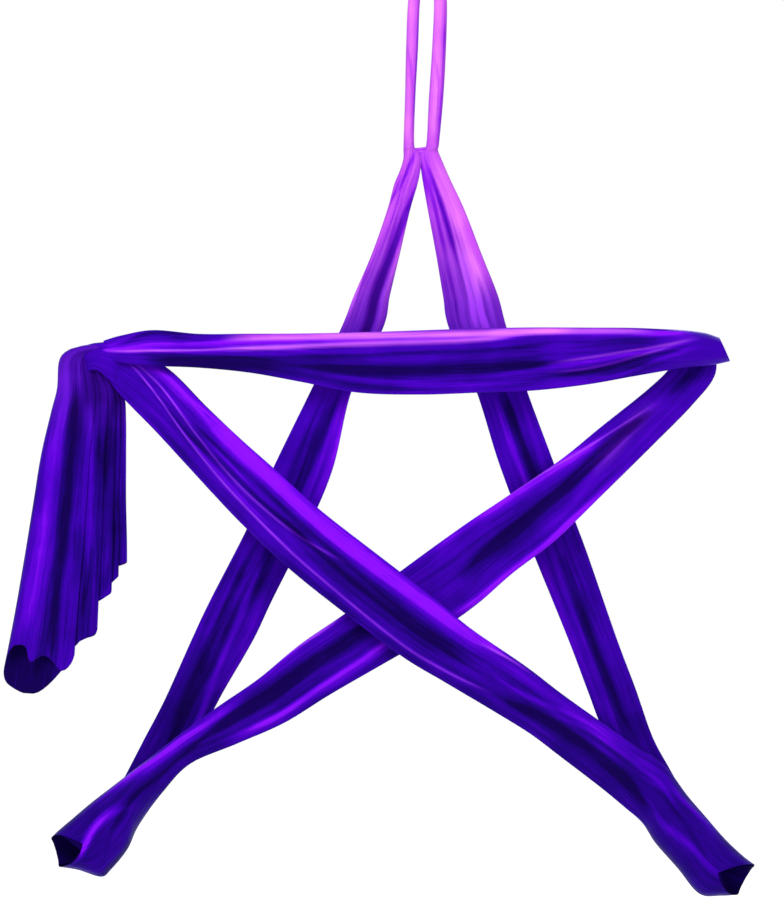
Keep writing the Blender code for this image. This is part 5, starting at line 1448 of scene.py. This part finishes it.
def make_housing(alloy):
    """The swivel's turned housing with its upper bail."""
    low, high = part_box("swivel_housing")
    foot, top = low[2], low[2] + HOUSING_HEIGHT
    ledge, groove = top - HOUSING_HEIGHT / 2, HOUSING_GROOVE_WIDE / 2
    groove_r = HOUSING_R - HOUSING_GROOVE
    profile = [(0, top), (HOUSING_R - HOUSING_SHOULDER, top), (HOUSING_R, top - HOUSING_SHOULDER),
               (HOUSING_R, ledge + groove), (groove_r, ledge + groove / 2), (groove_r, ledge - groove / 2),
               (HOUSING_R, ledge - groove), (HOUSING_R, foot + HOUSING_SHOULDER / 2),
               (HOUSING_R - HOUSING_SHOULDER / 2, foot), (HOUSING_BORE_R, foot),
               (HOUSING_BORE_R, top - HOUSING_ROOF), (0, top - HOUSING_ROOF)]
    shape = bmesh.new()
    lathe(shape, rounded(profile, HOUSING_EDGE_R), steps=96)
    add_bail(shape, high[2] - BAIL_BAR_R, top)
    finish_hard("housing_turned", shape, alloy, "swivel_top", "swivel_housing")
    return foot


def make_spindle(housing_foot, alloy):
    """The swivel's spindle with its flange and its lower bail."""
    low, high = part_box("swivel_spindle")
    flange_top = housing_foot - SEAL_HEIGHT - 2 * SEAM_GAP
    flange_foot = flange_top - SPINDLE_FLANGE_THICK
    shoulder, flange_r = SPINDLE_SHOULDER, SPINDLE_FLANGE_R
    profile = [(0, high[2]), (SPINDLE_R - shoulder / 4, high[2]), (SPINDLE_R, high[2] - shoulder / 4),
               (SPINDLE_R, flange_top), (flange_r - shoulder / 2, flange_top),
               (flange_r, flange_top - shoulder / 2), (flange_r, flange_foot + shoulder),
               (flange_r - shoulder, flange_foot), (0, flange_foot)]
    shape = bmesh.new()
    lathe(shape, rounded(profile, SPINDLE_EDGE_R), steps=96)
    add_bail(shape, low[2] + BAIL_BAR_R, flange_foot)
    finish_hard("spindle_turned", shape, alloy, "swivel_bottom", "swivel_spindle")


def make_eight(alloy):
    """The rescue eight, forged in one: two rings, the neck between them and two ears."""
    small_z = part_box("rescue_eight")[1][2] - SMALL_RING_HALF - SMALL_RING_R
    neck_top = small_z - SMALL_RING_R - SMALL_RING_HALF
    facing, centre = (0, 1, 0), Vector((0, 0, BIG_RING_Z))
    shape = bmesh.new()
    for ring_z, radius, half, steps in ((BIG_RING_Z, BIG_RING_R, BIG_RING_HALF, 96),
                                        (small_z, SMALL_RING_R, SMALL_RING_HALF, 64)):
        ring = bend((0, ring_z), radius, 0, 360, steps, 'XZ')
        loft(shape, [lay(place, heading, facing, EIGHT_THICK_HALF, half) for place, heading in ring],
             32, closed=True)
    loft(shape, [lay((0, 0, neck_top + rise), (0, 0, -1), facing, EIGHT_THICK_HALF * NECK_THICK_SHARE,
                     EIGHT_NECK_HALF * share) for rise, share in NECK_STATIONS], 32)
    for side in (-1, 1):
        away = Vector((side * cos(EAR_RISE), 0, sin(EAR_RISE)))
        loft(shape, [lay(centre + away * (BIG_RING_R + reach), away, facing, EIGHT_THICK_HALF * thin, half)
                     for reach, half, thin in EAR_STATIONS], 32)
    eight = finish_hard("eight_forged", shape, alloy, "silks", "rescue_eight")
    skin = eight.modifiers.new("one forging", 'REMESH')
    skin.mode = 'VOXEL'
    skin.voxel_size = EIGHT_VOXEL
    skin.use_smooth_shade = True
    blend_in = eight.modifiers.new("forged radii", 'SMOOTH')
    blend_in.factor = 0.5
    blend_in.iterations = 5


def make_rigging():
    """Plate, carabiners, swivel and eight, and better metal on the nodes that stay."""
    # Zinc from a bath: a cold pale grey, cloudy and only half bright
    plated = make_metal("zinc-plated steel", "#B4B8C0", "#8C9098", 0.42, 1.6)
    # Tumbled and polished: bright, with a faint grain drawn out upright
    polished = make_metal("polished steel", "#C4C6CA", "#A0A3A8", 0.24, 0.7, (1, 1, 0.15))
    # Blackened in a hot bath: a satin near black, rubbed to bare steel along its edges
    dark = make_metal("black oxide steel", "#2A2B30", "#191A1E", 0.40, 0.9, worn="#8A8C90", wear=0.7)
    # Anodised: an even satin grey, a little brighter where edges are worn
    alloy = make_metal("grey anodised aluminium", "#7C8088", "#666A72", 0.36, 0.6, worn="#B8BAC0", wear=0.5)
    make_plate(plated)
    kept = {"bearing_retainer": alloy, "bearing_lower_washer": polished, "bearing_upper_washer": polished,
            "bearing_ball_ring": polished, "spindle_nut": polished, "dust_seal": make_rubber()}
    for label in ("upper", "lower"):
        make_carabiner_frame(label, polished)
        make_gate(label, polished)
        make_sleeve(label, dark)
        kept[label + "_gate_spring"] = polished
        kept[label + "_gate_pin"] = kept[label + "_push_rod"] = dark
    make_spindle(make_housing(alloy), alloy)
    make_eight(alloy)
    for node, material in kept.items():
        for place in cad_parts[node].material_slots:
            place.material = material


# Stage, light and camera


def camera_sees(tree):
    """1 where the camera sees a surface, straight or by way of metal or glass, and 0 elsewhere."""
    rays = add(tree, "LightPath").outputs
    by_way = add(tree, "Math", (0, rays["Is Glossy Ray"]), (1, rays["Is Transmission Ray"]),
                 operation='MAXIMUM')
    return add(tree, "Math", (0, rays["Is Camera Ray"]), (1, by_way.outputs[0]),
               operation='MAXIMUM').outputs[0]


def make_stage():
    """A pale floor under the star and the plain white background."""
    material, tree, shader = new_material("studio floor, matt paint")
    shader.inputs["Base Color"].default_value = linear("#F4F4F4")
    shader.inputs["Roughness"].default_value = 0.9
    shader.inputs["Emission Color"].default_value = linear("#FFFFFF")
    glow = add(tree, "Math", (0, camera_sees(tree)), (1, FLOOR_GLOW), operation='MULTIPLY')
    tree.links.new(glow.outputs[0], shader.inputs["Emission Strength"])
    grain = add(tree, "TexNoise", ("Scale", 1 / FLOOR_GRAIN)).outputs["Fac"]
    bump = add(tree, "Bump", ("Height", grain), ("Strength", 0.05), ("Distance", 0.2 * MM))
    tree.links.new(bump.outputs["Normal"], shader.inputs["Normal"])
    bpy.ops.mesh.primitive_plane_add(size=FLOOR_SIDE, location=(0, 0, FLOOR_Z))
    floor = bpy.context.object
    floor.name = "studio_floor"
    floor.data.materials.append(material)

    world = bpy.data.worlds.new("studio")
    bpy.context.scene.world = world
    world.use_nodes = True
    tree = world.node_tree
    background = tree.nodes["Background"]
    strength = add(tree, "MapRange", ("Value", camera_sees(tree)), ("To Min", WORLD_LIGHT))
    tree.links.new(strength.outputs["Result"], background.inputs["Strength"])
    background.inputs["Color"].default_value = linear("#FFFFFF")


def make_lamps():
    """Soft boxes that look at the star's middle."""
    for name, place, side, power in LAMPS:
        light = bpy.data.lights.new(name, 'AREA')
        light.shape = 'SQUARE'
        light.size = side
        light.energy = power
        lamp = put(name, light)
        lamp.location = place
        lamp.rotation_euler = (Vector(STAR_MIDDLE) - Vector(place)).to_track_quat('-Z', 'Y').to_euler()


def make_camera():
    """A long lens straight in front of the star, framed as the photograph is."""
    tall = VIEW_HIGH_PX * PIXEL
    camera = bpy.data.cameras.new("camera")
    camera.sensor_fit = 'VERTICAL'
    camera.sensor_height = SENSOR_MM
    camera.lens = SENSOR_MM * CAMERA_AWAY / tall
    eye = put("camera", camera)
    eye.location = ((VIEW_WIDE_PX / 2 - AXIS_PX) * PIXEL, -CAMERA_AWAY, VIEW_TOP_Z - tall / 2)
    eye.rotation_euler = (radians(90), 0, 0)
    bpy.context.scene.camera = eye


def main():
    """Builds the scene."""
    bpy.context.scene.view_settings.view_transform = 'Standard'
    make_camera()
    make_stage()
    make_lamps()
    make_rigging()
    tricot = make_tricot()
    for make in (make_stretches, make_knot, make_hitch, make_grip, make_tail):
        make(tricot)


main()
